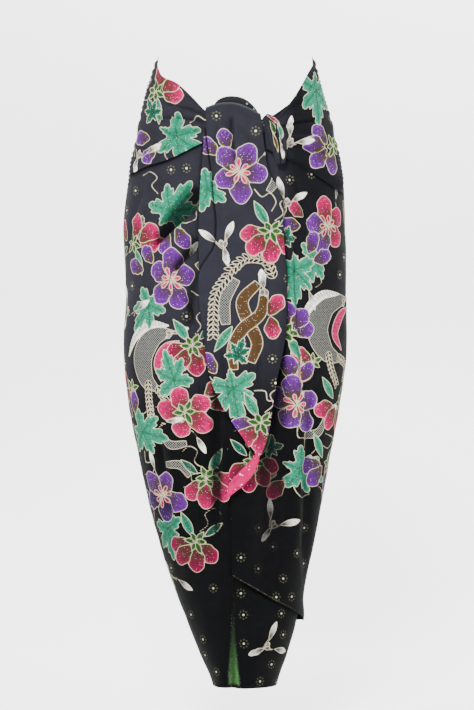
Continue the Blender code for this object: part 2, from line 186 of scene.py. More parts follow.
# Creases of the waist's own stretches, drawn in towards the knot.
WAIST_FOLDS = (
    Fold("front", "crease", -0.046, -0.052, -0.110, -0.030, 0.003, 0.004, 0.003, 0.0045),
    Fold("front", "crease", -0.046, -0.062, -0.128, -0.052, 0.004, 0.005, 0.003, 0.0055),
    Fold("front", "trough", -0.047, -0.074, -0.118, -0.082, 0.003, 0.005, 0.004, 0.0045),
    Fold("front", "crease", -0.048, -0.046, -0.086, -0.012, 0.002, 0.003, 0.002, 0.0030),
    Fold("front", "ridge", -0.050, -0.068, -0.124, -0.067, -0.003, 0.003, 0.005, 0.0030),
    Fold("front", "crease", -0.080, -0.098, -0.150, -0.100, -0.003, 0.004, 0.003, 0.0030),
    Fold("front", "crease", -0.110, -0.020, -0.140, 0.020, 0.002, 0.004, 0.003, 0.0025),
    Fold("front", "crease", 0.060, -0.075, 0.124, -0.056, -0.003, 0.005, 0.003, 0.0050),
    Fold("front", "crease", 0.064, -0.095, 0.146, -0.110, -0.002, 0.005, 0.004, 0.0050),
    Fold("front", "trough", 0.066, -0.058, 0.114, -0.020, -0.003, 0.005, 0.004, 0.0040),
    Fold("front", "ridge", 0.070, -0.084, 0.136, -0.082, 0.003, 0.004, 0.005, 0.0030),
    Fold("front", "crease", 0.068, -0.112, 0.118, -0.134, 0.002, 0.004, 0.003, 0.0035),
    Fold("front", "crease", 0.112, -0.010, 0.134, 0.030, 0.002, 0.003, 0.003, 0.0025),
)

Turn = namedtuple("Turn", "x z lift wide thick")
KNOT_TURN = (
    Turn(0.044, -0.054, 0.0185, 0.006, 0.004),
    Turn(0.051, -0.062, 0.0200, 0.010, 0.006),
    Turn(0.057, -0.074, 0.0220, 0.013, 0.007),
    Turn(0.062, -0.092, 0.0230, 0.014, 0.007),
    Turn(0.066, -0.112, 0.0220, 0.012, 0.006),
    Turn(0.068, -0.130, 0.0200, 0.007, 0.004),
)
KNOT_ROLL = (
    Turn(-0.038, -0.036, -0.011, 0.003, 0.003),
    Turn(-0.026, -0.025, -0.009, 0.006, 0.006),
    Turn(-0.008, -0.021, -0.008, 0.007, 0.007),
    Turn(0.012, -0.025, -0.008, 0.007, 0.007),
    Turn(0.029, -0.037, -0.010, 0.006, 0.006),
    Turn(0.041, -0.051, -0.012, 0.003, 0.003),
)
TAIL_TIP = (
    Turn(0.033, -0.590, 0.0175, 0.004, 0.002),
    Turn(0.028, -0.610, 0.019, 0.007, 0.004),
    Turn(0.013, -0.633, 0.018, 0.0115, 0.005),
    Turn(-0.003, -0.650, 0.017, 0.009, 0.004),
    Turn(-0.013, -0.668, 0.016, 0.002, 0.002),
)


# ---- Reading the tables --------------------------------------------------------------------------
def ease(value, start, end):
    """0 before start and 1 after end, turning smoothly between them; start may be the larger."""
    t = np.clip((value - start) / (end - start), 0.0, 1.0)
    return t * t * (3.0 - 2.0 * t)


def between(first, last, share):
    return first + (last - first) * share


def smooth_read(at, keys, values):
    """A smooth curve through a table's rows: cubic stretches whose slopes are the chords' means."""
    order = np.argsort(keys)
    keys, values = np.asarray(keys, float)[order], np.asarray(values, float)[order]
    slopes = np.gradient(values, keys)
    at = np.clip(at, keys[0], keys[-1])
    i = np.clip(np.searchsorted(keys, at) - 1, 0, len(keys) - 2)
    span = keys[i + 1] - keys[i]
    t = (at - keys[i]) / span
    rise = t * t * (3.0 - 2.0 * t)
    bend_in = t * (1.0 - t) ** 2 * span * slopes[i]
    bend_out = t * t * (1.0 - t) * span * slopes[i + 1]
    return values[i] * (1.0 - rise) + values[i + 1] * rise + bend_in - bend_out


def column(rows, name):
    return [getattr(row, name) for row in rows]


def reach(z, name):
    return smooth_read(z, column(SECTIONS, "z"), column(SECTIONS, name))


def front_line(theta, name):
    return smooth_read(np.degrees(theta), column(FRONT_LINES, "degrees"), column(FRONT_LINES, name))


def tail_at(z, name):
    return smooth_read(z, column(TAIL, "z"), column(TAIL, name))


def back_rim(theta):
    from_centre = np.abs(np.degrees(theta) - 180.0)
    return smooth_read(from_centre, column(BACK_LINES, "degrees"), column(BACK_LINES, "rim"))


# ---- The figure and its folds --------------------------------------------------------------------
def across(theta, z):
    """The figure's half width on the side that the angle is on."""
    return np.where(np.sin(theta) < 0.0, reach(z, "left"), reach(z, "right"))


def deep(theta, z):
    return np.where(np.cos(theta) > 0.0, reach(z, "front"), reach(z, "back"))


def figure(theta, z):
    """A point on the figure: four quarter ellipses at each height, joined smoothly."""
    return np.stack([across(theta, z) * np.sin(theta), -deep(theta, z) * np.cos(theta), z], axis=-1)


def outward(theta, z):
    """The direction off the figure, from its slopes round and up."""
    step = 1e-4
    round_it = figure(theta + step, z) - figure(theta - step, z)
    up_it = figure(theta, z + step) - figure(theta, z - step)
    normal = np.cross(round_it, up_it)
    return normal / np.linalg.norm(normal, axis=-1, keepdims=True)


def angle_at(x, z):
    """The front angle at which the figure is x from the axis."""
    half = np.where(np.asarray(x) < 0.0, reach(z, "left"), reach(z, "right"))
    return np.arcsin(np.clip(x / half, -1.0, 1.0))


def one_fold(fold, x, z):
    """The rise of the cloth at one fold, by the distance from its bowed line and the way along it."""
    run_x, run_z = fold.x1 - fold.x0, fold.z1 - fold.z0
    length = np.hypot(run_x, run_z)
    along = ((x - fold.x0) * run_x + (z - fold.z0) * run_z) / length**2
    aside = ((x - fold.x0) * run_z - (z - fold.z0) * run_x) / length
    share = np.clip(along, 0.0, 1.0)
    aside = aside - 4.0 * fold.bow * share * (1.0 - share)
    wide = fold.wide0 + (fold.wide1 - fold.wide0) * share
    if fold.kind == "swag":
        wide = np.where(aside < 0.0, wide * 0.24, wide)
    if fold.kind == "crease":
        wide = np.where(aside < 0.0, wide * 0.55, wide)
    ends = ease(along, -0.12, 0.12) * ease(along, 1.12, 0.88)
    if fold.kind == "step":
        return fold.deep * ease(aside, -0.0015, 0.0015) * np.exp(-np.maximum(aside, 0.0) / wide) * ends
    sign = 1.0 if fold.kind == "ridge" else -1.0
    return sign * fold.deep * np.exp(-((aside / wide) ** 2)) * ends


def folds(theta, z, rows=FOLDS):
    """All the folds that cross a place. They fade out at the sides, where the two views meet."""
    x = across(theta, z) * np.sin(theta)
    total = np.zeros_like(x)
    for fold in rows:
        facing = np.cos(theta) if fold.face == "front" else -np.cos(theta)
        total = total + one_fold(fold, x, z) * ease(facing, 0.05, 0.35)
    return total


def ripples(theta, z):
    """Low uneven waves left in handled cotton: a few sines that cross at odd angles."""
    x = across(theta, z) * theta
    waves = np.sin(61.0 * x + 23.0 * z + 1.3) + 0.8 * np.sin(-38.0 * x + 71.0 * z)
    waves = waves + 0.6 * np.sin(117.0 * x - 44.0 * z + 0.7) + 0.5 * np.sin(29.0 * x + 131.0 * z + 2.1)
    gathers = np.sin(560.0 * z + 9.0 * np.sin(47.0 * z)) * ease(np.abs(np.sin(theta)), 0.90, 0.99)
    return 0.00028 * waves + 0.0011 * gathers * ease(z, -0.18, -0.13)


def place(theta, z, lift, rows=FOLDS):
    """Points lifted off the figure, its folds and its ripples."""
    rise = lift + folds(theta, z, rows) + ripples(theta, z)
    return figure(theta, z) + outward(theta, z) * np.asarray(rise)[..., None]


# ---- The flat cloth ------------------------------------------------------------------------------
ARC_STEPS = 16


def arc(turn, half, depth):
    """How far round an ellipse an angle is from its front or back: the slope's length, added up in
    even steps by Simpson's rule."""
    total = 0.0
    for k in range(ARC_STEPS + 1):
        at = turn * k / ARC_STEPS
        slope = np.hypot(half * np.cos(at), depth * np.sin(at))
        weight = 1.0 if k in (0, ARC_STEPS) else (4.0 if k % 2 else 2.0)
        total = total + weight * slope
    return total * turn / (3.0 * ARC_STEPS)


def flat_front(theta, z):
    return np.stack([arc(theta, across(theta, z), deep(theta, z)), z], axis=-1)


def flat_back(theta, z):
    """As the front, measured from the back centre, with +X still to the right of the front view."""
    return np.stack([arc(np.pi - theta, across(theta, z), reach(z, "back")), z], axis=-1)


def seen_front(x, z):
    """The flat place of a spot seen x and z millimetres from the origin: it is nearer the camera than
    the axis is, so it looks larger there, and the cloth turns away from it at the sides."""
    x, z = np.asarray(x) * MM, np.asarray(z) * MM
    share = np.ones_like(x)
    for _ in range(3):
        at_z = CAMERA_Z + (z - CAMERA_Z) * share
        left, right = -0.99 * reach(at_z, "left"), 0.99 * reach(at_z, "right")
        theta = angle_at(np.clip(x * share, left, right), at_z)
        share = (CAMERA_AWAY - reach(at_z, "front") * np.cos(theta)) / CAMERA_AWAY
    return flat_front(theta, at_z)


# ---- Outlines ------------------------------------------------------------------------------------
def turned(shape, at, turn):
    """An outline set down at a place, its own +Y turned clockwise by so many degrees."""
    t = np.radians(turn)
    side, along = np.array([np.cos(t), -np.sin(t)]), np.array([np.sin(t), np.cos(t)])
    return np.asarray(at) + shape[:, :1] * side + shape[:, 1:] * along


def blade(long, wide, lean=1.2, blunt=0.62, ripple=0.0, phase=0.0, points=26):
    """A petal, from its base at the origin to its tip: the half width is a sine of the way along, bent
    towards the tip by lean, filled out by blunt and waved by ripple."""
    s = 0.5 - 0.5 * np.cos(np.linspace(0.0, np.pi, points))
    half = 0.5 * wide * np.sin(np.pi * s**lean) ** blunt
    wave = 1.0 + ripple * np.sin(11.0 * s + phase)
    other = 1.0 + ripple * np.sin(15.0 * s + phase + 2.0)
    right = np.stack([half * wave, s * long], axis=1)
    left = np.stack([-half * other, s * long], axis=1)
    return np.concatenate([right, left[-2:0:-1]])


def palm(long, wide, lobes, points=150):
    """A lobed leaf round its stalk: at each angle the farthest of its lobes, each a rounded spike with
    teeth, drawn in across to the given width."""
    angle = np.linspace(-np.pi, np.pi, points, endpoint=False)
    far = np.full(points, 0.30)
    for degrees, share, spread in lobes:
        off = np.abs((angle - np.radians(degrees) + np.pi) % (2.0 * np.pi) - np.pi) / np.radians(spread)
        spike = share * np.clip(1.0 - off**1.15, 0.0, 1.0) ** 0.62
        teeth = 1.0 + 0.11 * np.sin(15.0 * off + 0.4) * ease(off, 0.10, 0.22)
        far = np.maximum(far, spike * teeth)
    return np.stack([far * np.sin(angle) * wide, far * np.cos(angle) * long], axis=1)


Lobe = namedtuple("Lobe", "degrees share spread")
PALM_LOBES = (
    Lobe(0, 1.0, 38),
    Lobe(50, 0.84, 37),
    Lobe(-52, 0.82, 37),
    Lobe(106, 0.80, 38),
    Lobe(-108, 0.82, 38),
    Lobe(180, 0.5, 36),
)


def eased_path(points, count=40):
    """A smooth path through a few places, by their straight-line way along."""
    points = np.asarray(points, float)
    way = np.concatenate([[0.0], np.cumsum(np.linalg.norm(np.diff(points, axis=0), axis=1))])
    at = np.linspace(0.0, way[-1], count)
    return np.stack([smooth_read(at, way, points[:, k]) for k in (0, 1)], axis=1)


def path_frame(path):
    """A path's own directions at each of its points: along it, and to its right."""
    run = np.gradient(path, axis=0)
    run /= np.linalg.norm(run, axis=1, keepdims=True)
    return run, np.stack([run[:, 1], -run[:, 0]], axis=1)


def strip(path, wide, taper=0.0):
    """The outline of a ribbon along a path, narrowing towards its ends by taper."""
    _, side = path_frame(path)
    s = np.linspace(0.0, 1.0, len(path))[:, None]
    half = 0.5 * wide * (1.0 - taper * (2.0 * s - 1.0) ** 2)
    return np.concatenate([path + side * half, (path - side * half)[::-1]])


def to_path(points, path):
    """Each point's distance to a path of straight runs."""
    start, run = path[:-1], np.diff(path, axis=0)
    off = points[:, None] - start
    share = np.clip((off * run).sum(-1) / np.maximum((run * run).sum(-1), 1e-12), 0.0, 1.0)
    return np.sqrt(((off - share[..., None] * run) ** 2).sum(-1).min(axis=1))


def inside_by(points, outline):
    """Each point's distance to a closed outline, above 0 inside it: inside is where a ray to the
    right crosses the outline an odd number of times."""
    a, b = outline, np.roll(outline, -1, axis=0)
    y = points[:, 1:2]
    crosses = (a[:, 1] > y) != (b[:, 1] > y)
    rise = np.where(b[:, 1] == a[:, 1], 1.0, b[:, 1] - a[:, 1])
    at = a[:, 0] + (y - a[:, 1]) * (b[:, 0] - a[:, 0]) / rise
    odd = (crosses & (points[:, :1] < at)).sum(axis=1) % 2 == 1
    return np.where(odd, 1.0, -1.0) * to_path(points, np.concatenate([outline, outline[:1]]))


# ---- Dyes ----------------------------------------------------------------------------------------
def dye(red, green, blue):
    """A dye's linear colour from its everyday 0 to 1 values."""
    c = np.array([red, green, blue])
    return np.where(c < 0.04045, c / 12.92, ((c + 0.055) / 1.055) ** 2.4)


PINK = dye(0.70, 0.01, 0.33)
# CRIMSON and PLUM are darker copies of PINK and PURPLE, used as painted shade on the shaded blooms'
# petals; CRIMSON is also a stamen dye.
CRIMSON = dye(0.55, 0.01, 0.24)
CORAL = dye(0.70, 0.08, 0.34)
PURPLE = dye(0.36, 0.12, 0.50)
PLUM = dye(0.24, 0.09, 0.36)
MINT = dye(0.12, 0.50, 0.39)
TEAL = dye(0.04, 0.35, 0.27)
FERN = dye(0.16, 0.36, 0.12)
OLIVE = dye(0.24, 0.20, 0.05)
BROWN = dye(0.27, 0.19, 0.07)
WHITE = dye(0.93, 0.93, 0.90)
GREY = dye(0.34, 0.34, 0.34)
WEDGE = dye(0.36, 0.60, 0.30)
NIGHT = dye(0.07, 0.07, 0.09)
# The dye at a petal's base, and the dye of a leaf's veins, by the petal's or the leaf's own dye.
HEARTS = {id(PINK): OLIVE, id(PURPLE): OLIVE, id(CRIMSON): OLIVE, id(PLUM): NIGHT, id(WHITE): GREY}
VEINS = {
    id(MINT): dye(0.04, 0.34, 0.20),
    id(TEAL): dye(0.02, 0.20, 0.12),
    id(FERN): dye(0.08, 0.18, 0.04),
}
WAX_LINE = 0.55 * MM
FAR = 0.05
SPILL = 3.0 * MM
PETAL_LONGER, PETAL_WIDER = 1.14, 1.22


class Batik:
    """The drawing on one stretch of cloth, kept at each of its grid points: the dye's colour, the
    distance inside the nearest dyed shape, wax line and netted ribbon, and the place in a star."""

    def __init__(self, flat):
        self.flat = flat.reshape(-1, 2)
        count = len(self.flat)
        self.dye = np.tile(NIGHT, (count, 1))
        self.fill = np.full(count, -FAR)
        self.wax = np.full(count, -FAR)
        self.edge = np.full(count, FAR)
        self.nearest = np.full(count, FAR)
        self.net = np.full(count, -FAR)
        self.star = np.full((count, 2), FAR)
        # How much painted shade darkens each point.
        self.painted_shade = np.zeros(count)

    def near(self, path, margin=4.0 * MM):
        low, high = path.min(axis=0) - margin, path.max(axis=0) + margin
        return np.nonzero(((self.flat > low) & (self.flat < high)).all(axis=1))[0]

    def shape(self, outline, colour, heart=None, heart_at=None, heart_far=0.02, netted=False):
        """A dyed shape in a wax outline. It hides what was drawn under it. Its heart is another dye
        that fades out from the petal's base."""
        i = self.near(outline)
        if not i.size:
            return
        points = self.flat[i]
        s = inside_by(points, outline)
        colours = np.tile(colour, (i.size, 1))
        if heart is not None:
            off = np.linalg.norm(points - heart_at, axis=1)[:, None]
            away = ease(off, 0.35 * heart_far, heart_far)
            colours = between(np.tile(heart, (i.size, 1)), colours, away)
        colours = colours * (0.86 + 0.22 * ease(np.abs(s), 5.0 * MM, 0.5 * MM))[:, None]
        self.wax[i] = np.minimum(self.wax[i], -s)
        ours = (s > 0.0) | (np.abs(s) < self.nearest[i])
        self.edge[i[ours]] = s[ours]
        self.nearest[i[ours]] = np.abs(s[ours])
        if netted:
            self.fill[i] = np.minimum(self.fill[i], -s)
            self.net[i] = np.maximum(self.net[i], s)
            return
        use = (s > 0.0) | ((s > -SPILL) & (self.fill[i] < 0.0))
        self.dye[i[use]] = colours[use]
        self.fill[i] = np.maximum(self.fill[i], s)
        self.net[i] = np.minimum(self.net[i], -s)

    def stroke(self, path, half=0.6 * MM):
        """A wax line with no dye."""
        i = self.near(path)
        if i.size:
            self.wax[i] = np.maximum(self.wax[i], half - to_path(self.flat[i], path))

    def vein(self, path, colour, half=1.7 * MM):
        """A darker line of dye inside what is already dyed."""
        i = self.near(path)
        if i.size:
            weight = np.exp(-((to_path(self.flat[i], path) / half) ** 2))[:, None]
            self.dye[i] = between(self.dye[i], np.tile(colour, (i.size, 1)), 0.85 * weight)

    def put_star(self, at):
        off = self.flat - at
        i = np.nonzero((np.abs(off) < 13.0 * MM).all(axis=1))[0]
        nearer = np.linalg.norm(off[i], axis=1) < np.linalg.norm(self.star[i], axis=1)
        self.star[i[nearer]] = off[i[nearer]]

    # Each motif below is at a flat place, turned clockwise from straight up.
    def petal(self, at, turn, long, wide, colour):
        """A rounded petal with a rippled edge, a heart and three dark streaks."""
        long, wide = PETAL_LONGER * long, PETAL_WIDER * wide
        phase = 1000.0 * (at[0] + at[1]) + turn
        outline = blade(long, wide, lean=1.3, blunt=0.52, ripple=0.08, phase=phase)
        self.shape(turned(outline, at, turn), colour, HEARTS.get(id(colour)), np.asarray(at), 0.86 * long)
        for lean_by in (-0.24, 0.0, 0.24):
            middle = [0.6 * lean_by * wide, 0.45 * long]
            streak = np.array([[0.0, 0.10 * long], middle, [lean_by * wide, 0.80 * long]])
            self.vein(turned(streak, at, turn), 0.45 * colour, 1.2 * MM)

    def flower(self, at, turn, long, wide, bloom):
        """Five uneven petals, the two low ones in the bloom's other dye, round stamens or sepals."""
        for k, colour in enumerate((bloom.upper, bloom.upper, bloom.lower, bloom.lower, bloom.upper)):
            size = long * (1.0 + 0.13 * np.sin(2.4 * k + turn))
            self.petal(at, turn + 72.0 * k + 7.0 * np.sin(3.1 * k + turn), size, wide, colour)
        size, broad = (16 * MM, 5 * MM) if bloom.middle == "stamens" else (17 * MM, 7 * MM)
        getattr(self, bloom.middle)(at, turn, size, broad, bloom.middle_dye)

    def spear(self, at, turn, long, wide, colour):
        """A narrow pointed leaf, sepal or bud."""
        self.shape(turned(blade(long, wide, lean=0.9, blunt=1.05), at, turn), colour)
        if id(colour) in VEINS:
            middle = np.array([[0.0, 0.08 * long], [0.0, 0.85 * long]])
            self.vein(turned(middle, at, turn), VEINS[id(colour)])

    def frill(self, at, turn, long, wide, colour):
        """A pale bird in flight: a long drop for its body and a small ragged tail, with dark barbs."""
        for side, size, broad in ((160.0, 0.55, 0.5), (-158.0, 0.45, 0.4), (0.0, 1.2, 0.62)):
            phase = turn + side
            outline = blade(size * long, broad * wide, lean=1.25, ripple=0.10, phase=phase, points=40)
            outline = turned(outline, at, turn + side)
            self.shape(outline, colour, HEARTS.get(id(colour)), np.asarray(at), 0.8 * long)
        for k in (0.45, 0.62, 0.79):
            barb = np.array([[0.0, k * long], [0.24 * wide, (k + 0.14) * long]])
            self.vein(turned(barb, at, turn), NIGHT, 0.8 * MM)

    def leaf(self, at, turn, long, wide, colour):
        """A lobed leaf with a vein out to each lobe."""
        self.shape(turned(palm(long, wide, PALM_LOBES), at, turn), colour)
        for degrees, share, _ in PALM_LOBES:
            t = np.radians(degrees)
            tip = np.array([np.sin(t) * wide, np.cos(t) * long]) * share * 0.82
            self.vein(turned(np.array([[0.0, 0.0], tip]), at, turn), VEINS[id(colour)])

    def stamens(self, at, turn, long, wide, colour):
        """Seven clubs round a flower's middle."""
        for k in range(7):
            size = 1.35 * long * (1.0 if k % 2 else 0.8)
            club = blade(0.85 * size, 1.25 * wide, lean=1.9, blunt=0.6) + (0.0, 0.15 * size)
            self.shape(turned(club, at, turn + 51.4 * k), colour)

    def sepals(self, at, turn, long, wide, colour):
        """Six small leaves round the back of a flower."""
        for k in range(6):
            size = 1.35 * long * (1.0 if k % 2 else 0.8)
            self.spear(at, turn + 60.0 * k + 8.0 * (k % 2), size, 1.3 * wide, colour)

    def bud(self, at, turn, long, wide, colour):
        """A closed bud: a pale spear with a dark split, and a stalk."""
        outline = turned(blade(long, wide, lean=1.25, blunt=0.9), at, turn)
        self.shape(outline, colour, GREY, np.asarray(at), 0.7 * long)
        stalk = np.array([[0.0, 0.0], [0.1 * wide, -0.25 * long], [0.4 * wide, -0.4 * long]])
        self.stroke(turned(stalk, at, turn))

    def wedge(self, at, turn, long, wide, colour):
        """A plain pale gore that widens downwards, with no wax. Its pale green is its dye; its fade to
        near black towards its top and sides is painted shade.
        """
        right, left = [0.25 * wide, 0.6 * long], [-0.2 * wide, 0.6 * long]
        corners = np.array([[0.0, 0.0], right, [0.5 * wide, long], [-0.5 * wide, long], left])
        outline = turned(corners, at, turn)
        i = self.near(outline)
        s = inside_by(self.flat[i], outline)
        down = ease(np.linalg.norm(self.flat[i] - at, axis=1), 0.25 * long, 1.0 * long)[:, None]
        down = down * ease(s, 0.0, 5.0 * MM)[:, None]
        use = s > -SPILL
        # Painted shade: near black at the gore's top and sides, its green dye low down.
        dark, pale = np.tile(0.3 * NIGHT, (i.size, 1)), np.tile(colour, (i.size, 1))
        self.dye[i[use]] = between(dark, pale, down)[use]
        self.fill[i] = np.maximum(self.fill[i], s)

    def ribbon(self, path, wide, colour):
        self.shape(strip(path, wide, taper=0.35), colour, netted=colour is NIGHT)

    def crescent(self, path, wide, colour):
        """A ribbon that narrows almost to nothing at both ends."""
        self.shape(strip(path, wide, taper=0.96), colour, netted=colour is NIGHT)

    def plume(self, path, wide, colour):
        """A long feather with dark slanting barbs."""
        self.shape(strip(path, wide, taper=0.9), colour)
        run, side = path_frame(path)
        for k in range(2, len(path) - 2, 2):
            start = path[k] - 0.1 * wide * side[k]
            end = path[k] + wide * (0.5 * side[k] + 0.3 * run[k])
            self.vein(np.array([start, end]), NIGHT, 0.9 * MM)

    def chain(self, path, wide, colour):
        """A feather: pairs of small leaves down a path, each overlapping the next."""
        run = np.gradient(path, axis=0)
        way = np.concatenate([[0.0], np.cumsum(np.linalg.norm(np.diff(path, axis=0), axis=1))])
        for at in np.arange(0.0, way[-1], 0.50 * wide):
            x, y = (np.interp(at, way, path[:, k]) for k in (0, 1))
            dx, dy = (np.interp(at, way, run[:, k]) for k in (0, 1))
            turn = np.degrees(np.arctan2(dx, dy))
            for side in (-42.0, 42.0):
                leaflet = blade(0.80 * wide, 0.34 * wide, lean=0.9, blunt=0.9, points=9)
                self.shape(turned(leaflet, (x, y), turn + side), colour)

    def tendril(self, path, half, _):
        """A wax line alone, so its dye goes unused."""
        self.stroke(path, half)


# ---- The drawing's tables ------------------------------------------------------------------------
# A motif stands at its middle (a leaf, a flower, stamens and sepals at their stalk), turned clockwise
# from up. A run follows a path of places. Both are in their own spray's millimetres. Where a motif's
# dye is a word, the spray's bloom says which dye that is.
Motif = namedtuple("Motif", "kind x z turn long wide dye")
Run = namedtuple("Run", "kind wide dye places")
Spray = namedtuple("Spray", "motifs runs")

SPRAYS = {
    "blossom": Spray(
        (
            Motif("leaf", 36, -44, 140, 54, 42, MINT),
            Motif("petal", -30, -52, 210, 34, 21, "lower"),
            Motif("petal", -46, -30, 245, 30, 19, "upper"),
            Motif("bud", -44, 42, -48, 32, 9, WHITE),
            Motif("flower", 0, 0, 0, 41, 27, "all"),
        ),
        (
            Run("tendril", 0.8, WHITE, ((24, 28), (34, 42), (26, 52), (38, 64), (54, 60))),
            Run("ribbon", 13, NIGHT, ((-20, 48), (2, 58), (24, 50))),
        ),
    ),
    "cup": Spray(
        (
            Motif("spear", 24, -24, 132, 46, 15, MINT),
            Motif("spear", -20, -30, 214, 38, 12, TEAL),
            Motif("petal", -22, 8, -64, 36, 23, "lower"),
            Motif("petal", 22, 10, 62, 36, 23, "lower"),
            Motif("petal", -9, 22, -20, 40, 24, "upper"),
            Motif("petal", 11, 22, 24, 38, 23, "upper"),
            Motif("sepals", 0, -2, 10, 16, 7, FERN),
        ),
        (Run("tendril", 0.8, WHITE, ((0, -20), (-8, -36), (2, -50), (-8, -62), (-22, -58))),),
    ),
    "vine": Spray(
        (
            Motif("leaf", 0, 0, 20, 62, 48, MINT),
            Motif("leaf", -32, -42, 230, 30, 24, TEAL),
            Motif("petal", 34, -34, 130, 34, 20, "upper"),
            Motif("petal", 12, -50, 176, 34, 20, "lower"),
            Motif("bud", 44, 38, 40, 34, 9, WHITE),
        ),
        (
            Run("tendril", 0.8, WHITE, ((-26, 20), (-40, 30), (-36, 44), (-50, 50), (-60, 40))),
            Run("tendril", 0.8, WHITE, ((20, -14), (38, -8), (48, 4), (42, 16))),
        ),
    ),
    "buds": Spray(
        (
            Motif("bud", -16, 12, -34, 36, 10, WHITE),
            Motif("bud", 18, 8, 42, 34, 10, WHITE),
            Motif("frill", 0, -26, 190, 24, 15, WHITE),
        ),
        (Run("tendril", 0.7, WHITE, ((-8, -2), (0, -16), (10, -4))),),
    ),
    "bird": Spray(
        (
            Motif("frill", -30, 54, -64, 24, 14, WHITE),
            Motif("sepals", 30, -54, 0, 15, 6, FERN),
            Motif("petal", 46, -44, 70, 34, 21, "upper"),
            Motif("petal", 40, -68, 140, 34, 21, "lower"),
        ),
        (
            Run("crescent", 42, NIGHT, ((-24, 52), (10, 36), (22, 2), (8, -36), (-18, -50))),
            Run("crescent", 18, CORAL, ((-34, 38), (-14, 22), (-6, -6), (-16, -34))),
            Run("plume", 15, WHITE, ((-12, 60), (18, 56), (40, 30), (44, -2))),
            Run("chain", 14, NIGHT, ((-10, -44), (-26, -62), (-30, -84))),
            Run("chain", 14, NIGHT, ((6, -36), (0, -64), (-8, -92))),
        ),
    ),
    "ribbons": Spray(
        (
            Motif("frill", -6, 66, 20, 26, 18, WHITE),
            Motif("spear", 30, -40, 160, 50, 14, MINT),
            Motif("petal", -34, 30, -20, 34, 20, "upper"),
            Motif("petal", -38, -2, 200, 32, 20, "lower"),
        ),
        (
            Run("ribbon", 20, NIGHT, ((34, 58), (44, 20), (32, -16))),
            Run("ribbon", 20, BROWN, ((0, 60), (16, 26), (-2, -6), (-22, -34), (-20, -66))),
            Run("ribbon", 19, BROWN, ((-12, 52), (-16, 16), (6, -20), (12, -52), (2, -84))),
            Run("chain", 16, NIGHT, ((-22, 74), (-4, 96), (26, 94), (44, 72))),
            Run("chain", 16, NIGHT, ((46, 64), (58, 30), (54, -6), (46, -40))),
        ),
    ),
}

Bloom = namedtuple("Bloom", "upper lower middle middle_dye")
ROSE = Bloom(PINK, PINK, "sepals", FERN)
VIOLET = Bloom(PURPLE, PURPLE, "stamens", PINK)
MIXED = Bloom(PINK, PURPLE, "stamens", CRIMSON)
# The next two blooms are the rose and violet in darker dyes: painted shade for flowers low down and in
# folds.
SHADED_ROSE = Bloom(CRIMSON, CRIMSON, "sepals", FERN)
SHADED_VIOLET = Bloom(PURPLE, PLUM, "stamens", CRIMSON)

# Each stretch's sprays: where a spray's own middle stands, how it is turned, and 1 or -1 to flip it.
Place = namedtuple("Place", "spray x z turn flip bloom")
UNDER_PLACES = (
    Place("vine", -112, -196, 20, 1, VIOLET),
    Place("cup", -170, -250, 30, 1, ROSE),
    Place("blossom", -108, -312, 80, 1, VIOLET),
    Place("buds", -174, -356, 20, 1, ROSE),
    Place("bird", -134, -446, 10, -1, ROSE),
    Place("cup", -72, -424, 190, 1, SHADED_ROSE),
    Place("blossom", -84, -534, 200, 1, ROSE),
    Place("vine", -156, -566, 120, -1, VIOLET),
    Place("blossom", -122, -672, 30, 1, SHADED_VIOLET),
    Place("cup", -48, -646, 160, -1, ROSE),
    Place("cup", -66, -752, 200, 1, SHADED_ROSE),
    Place("buds", -104, -820, 150, 1, ROSE),
    Place("buds", 60, -920, 60, 1, ROSE),
)
OVER_PLACES = (
    Place("blossom", 150, -222, 60, 1, MIXED),
    Place("buds", 84, -176, 20, 1, ROSE),
    Place("vine", 96, -296, 200, -1, VIOLET),
    Place("bird", 156, -396, 0, -1, ROSE),
    Place("cup", 84, -398, 20, 1, VIOLET),
    Place("blossom", 100, -520, 140, 1, VIOLET),
    Place("cup", 170, -520, 190, 1, ROSE),
    Place("vine", 106, -628, 90, 1, ROSE),
    Place("cup", 30, -618, 170, -1, SHADED_ROSE),
    Place("cup", 150, -620, 200, 1, VIOLET),
    Place("buds", 70, -716, 30, 1, ROSE),
)
TAIL_PLACES = (
    Place("blossom", 6, -142, 100, 1, VIOLET),
    Place("cup", 54, -240, 200, 1, ROSE),
    Place("buds", -24, -252, -20, 1, ROSE),
    Place("ribbons", 20, -380, 14, -1, ROSE),
    Place("vine", -4, -490, 150, 1, VIOLET),
    Place("cup", 38, -548, 200, 1, MIXED),
)
BAND_PLACES = (
    Place("cup", -128, 2, 40, 1, ROSE),
    Place("vine", -98, -74, 100, 1, VIOLET),
    Place("buds", -152, -96, 20, 1, ROSE),
    Place("vine", 126, 2, 200, -1, ROSE),
    Place("cup", 152, -92, 250, 1, VIOLET),
    Place("buds", 92, -78, 40, 1, ROSE),
)
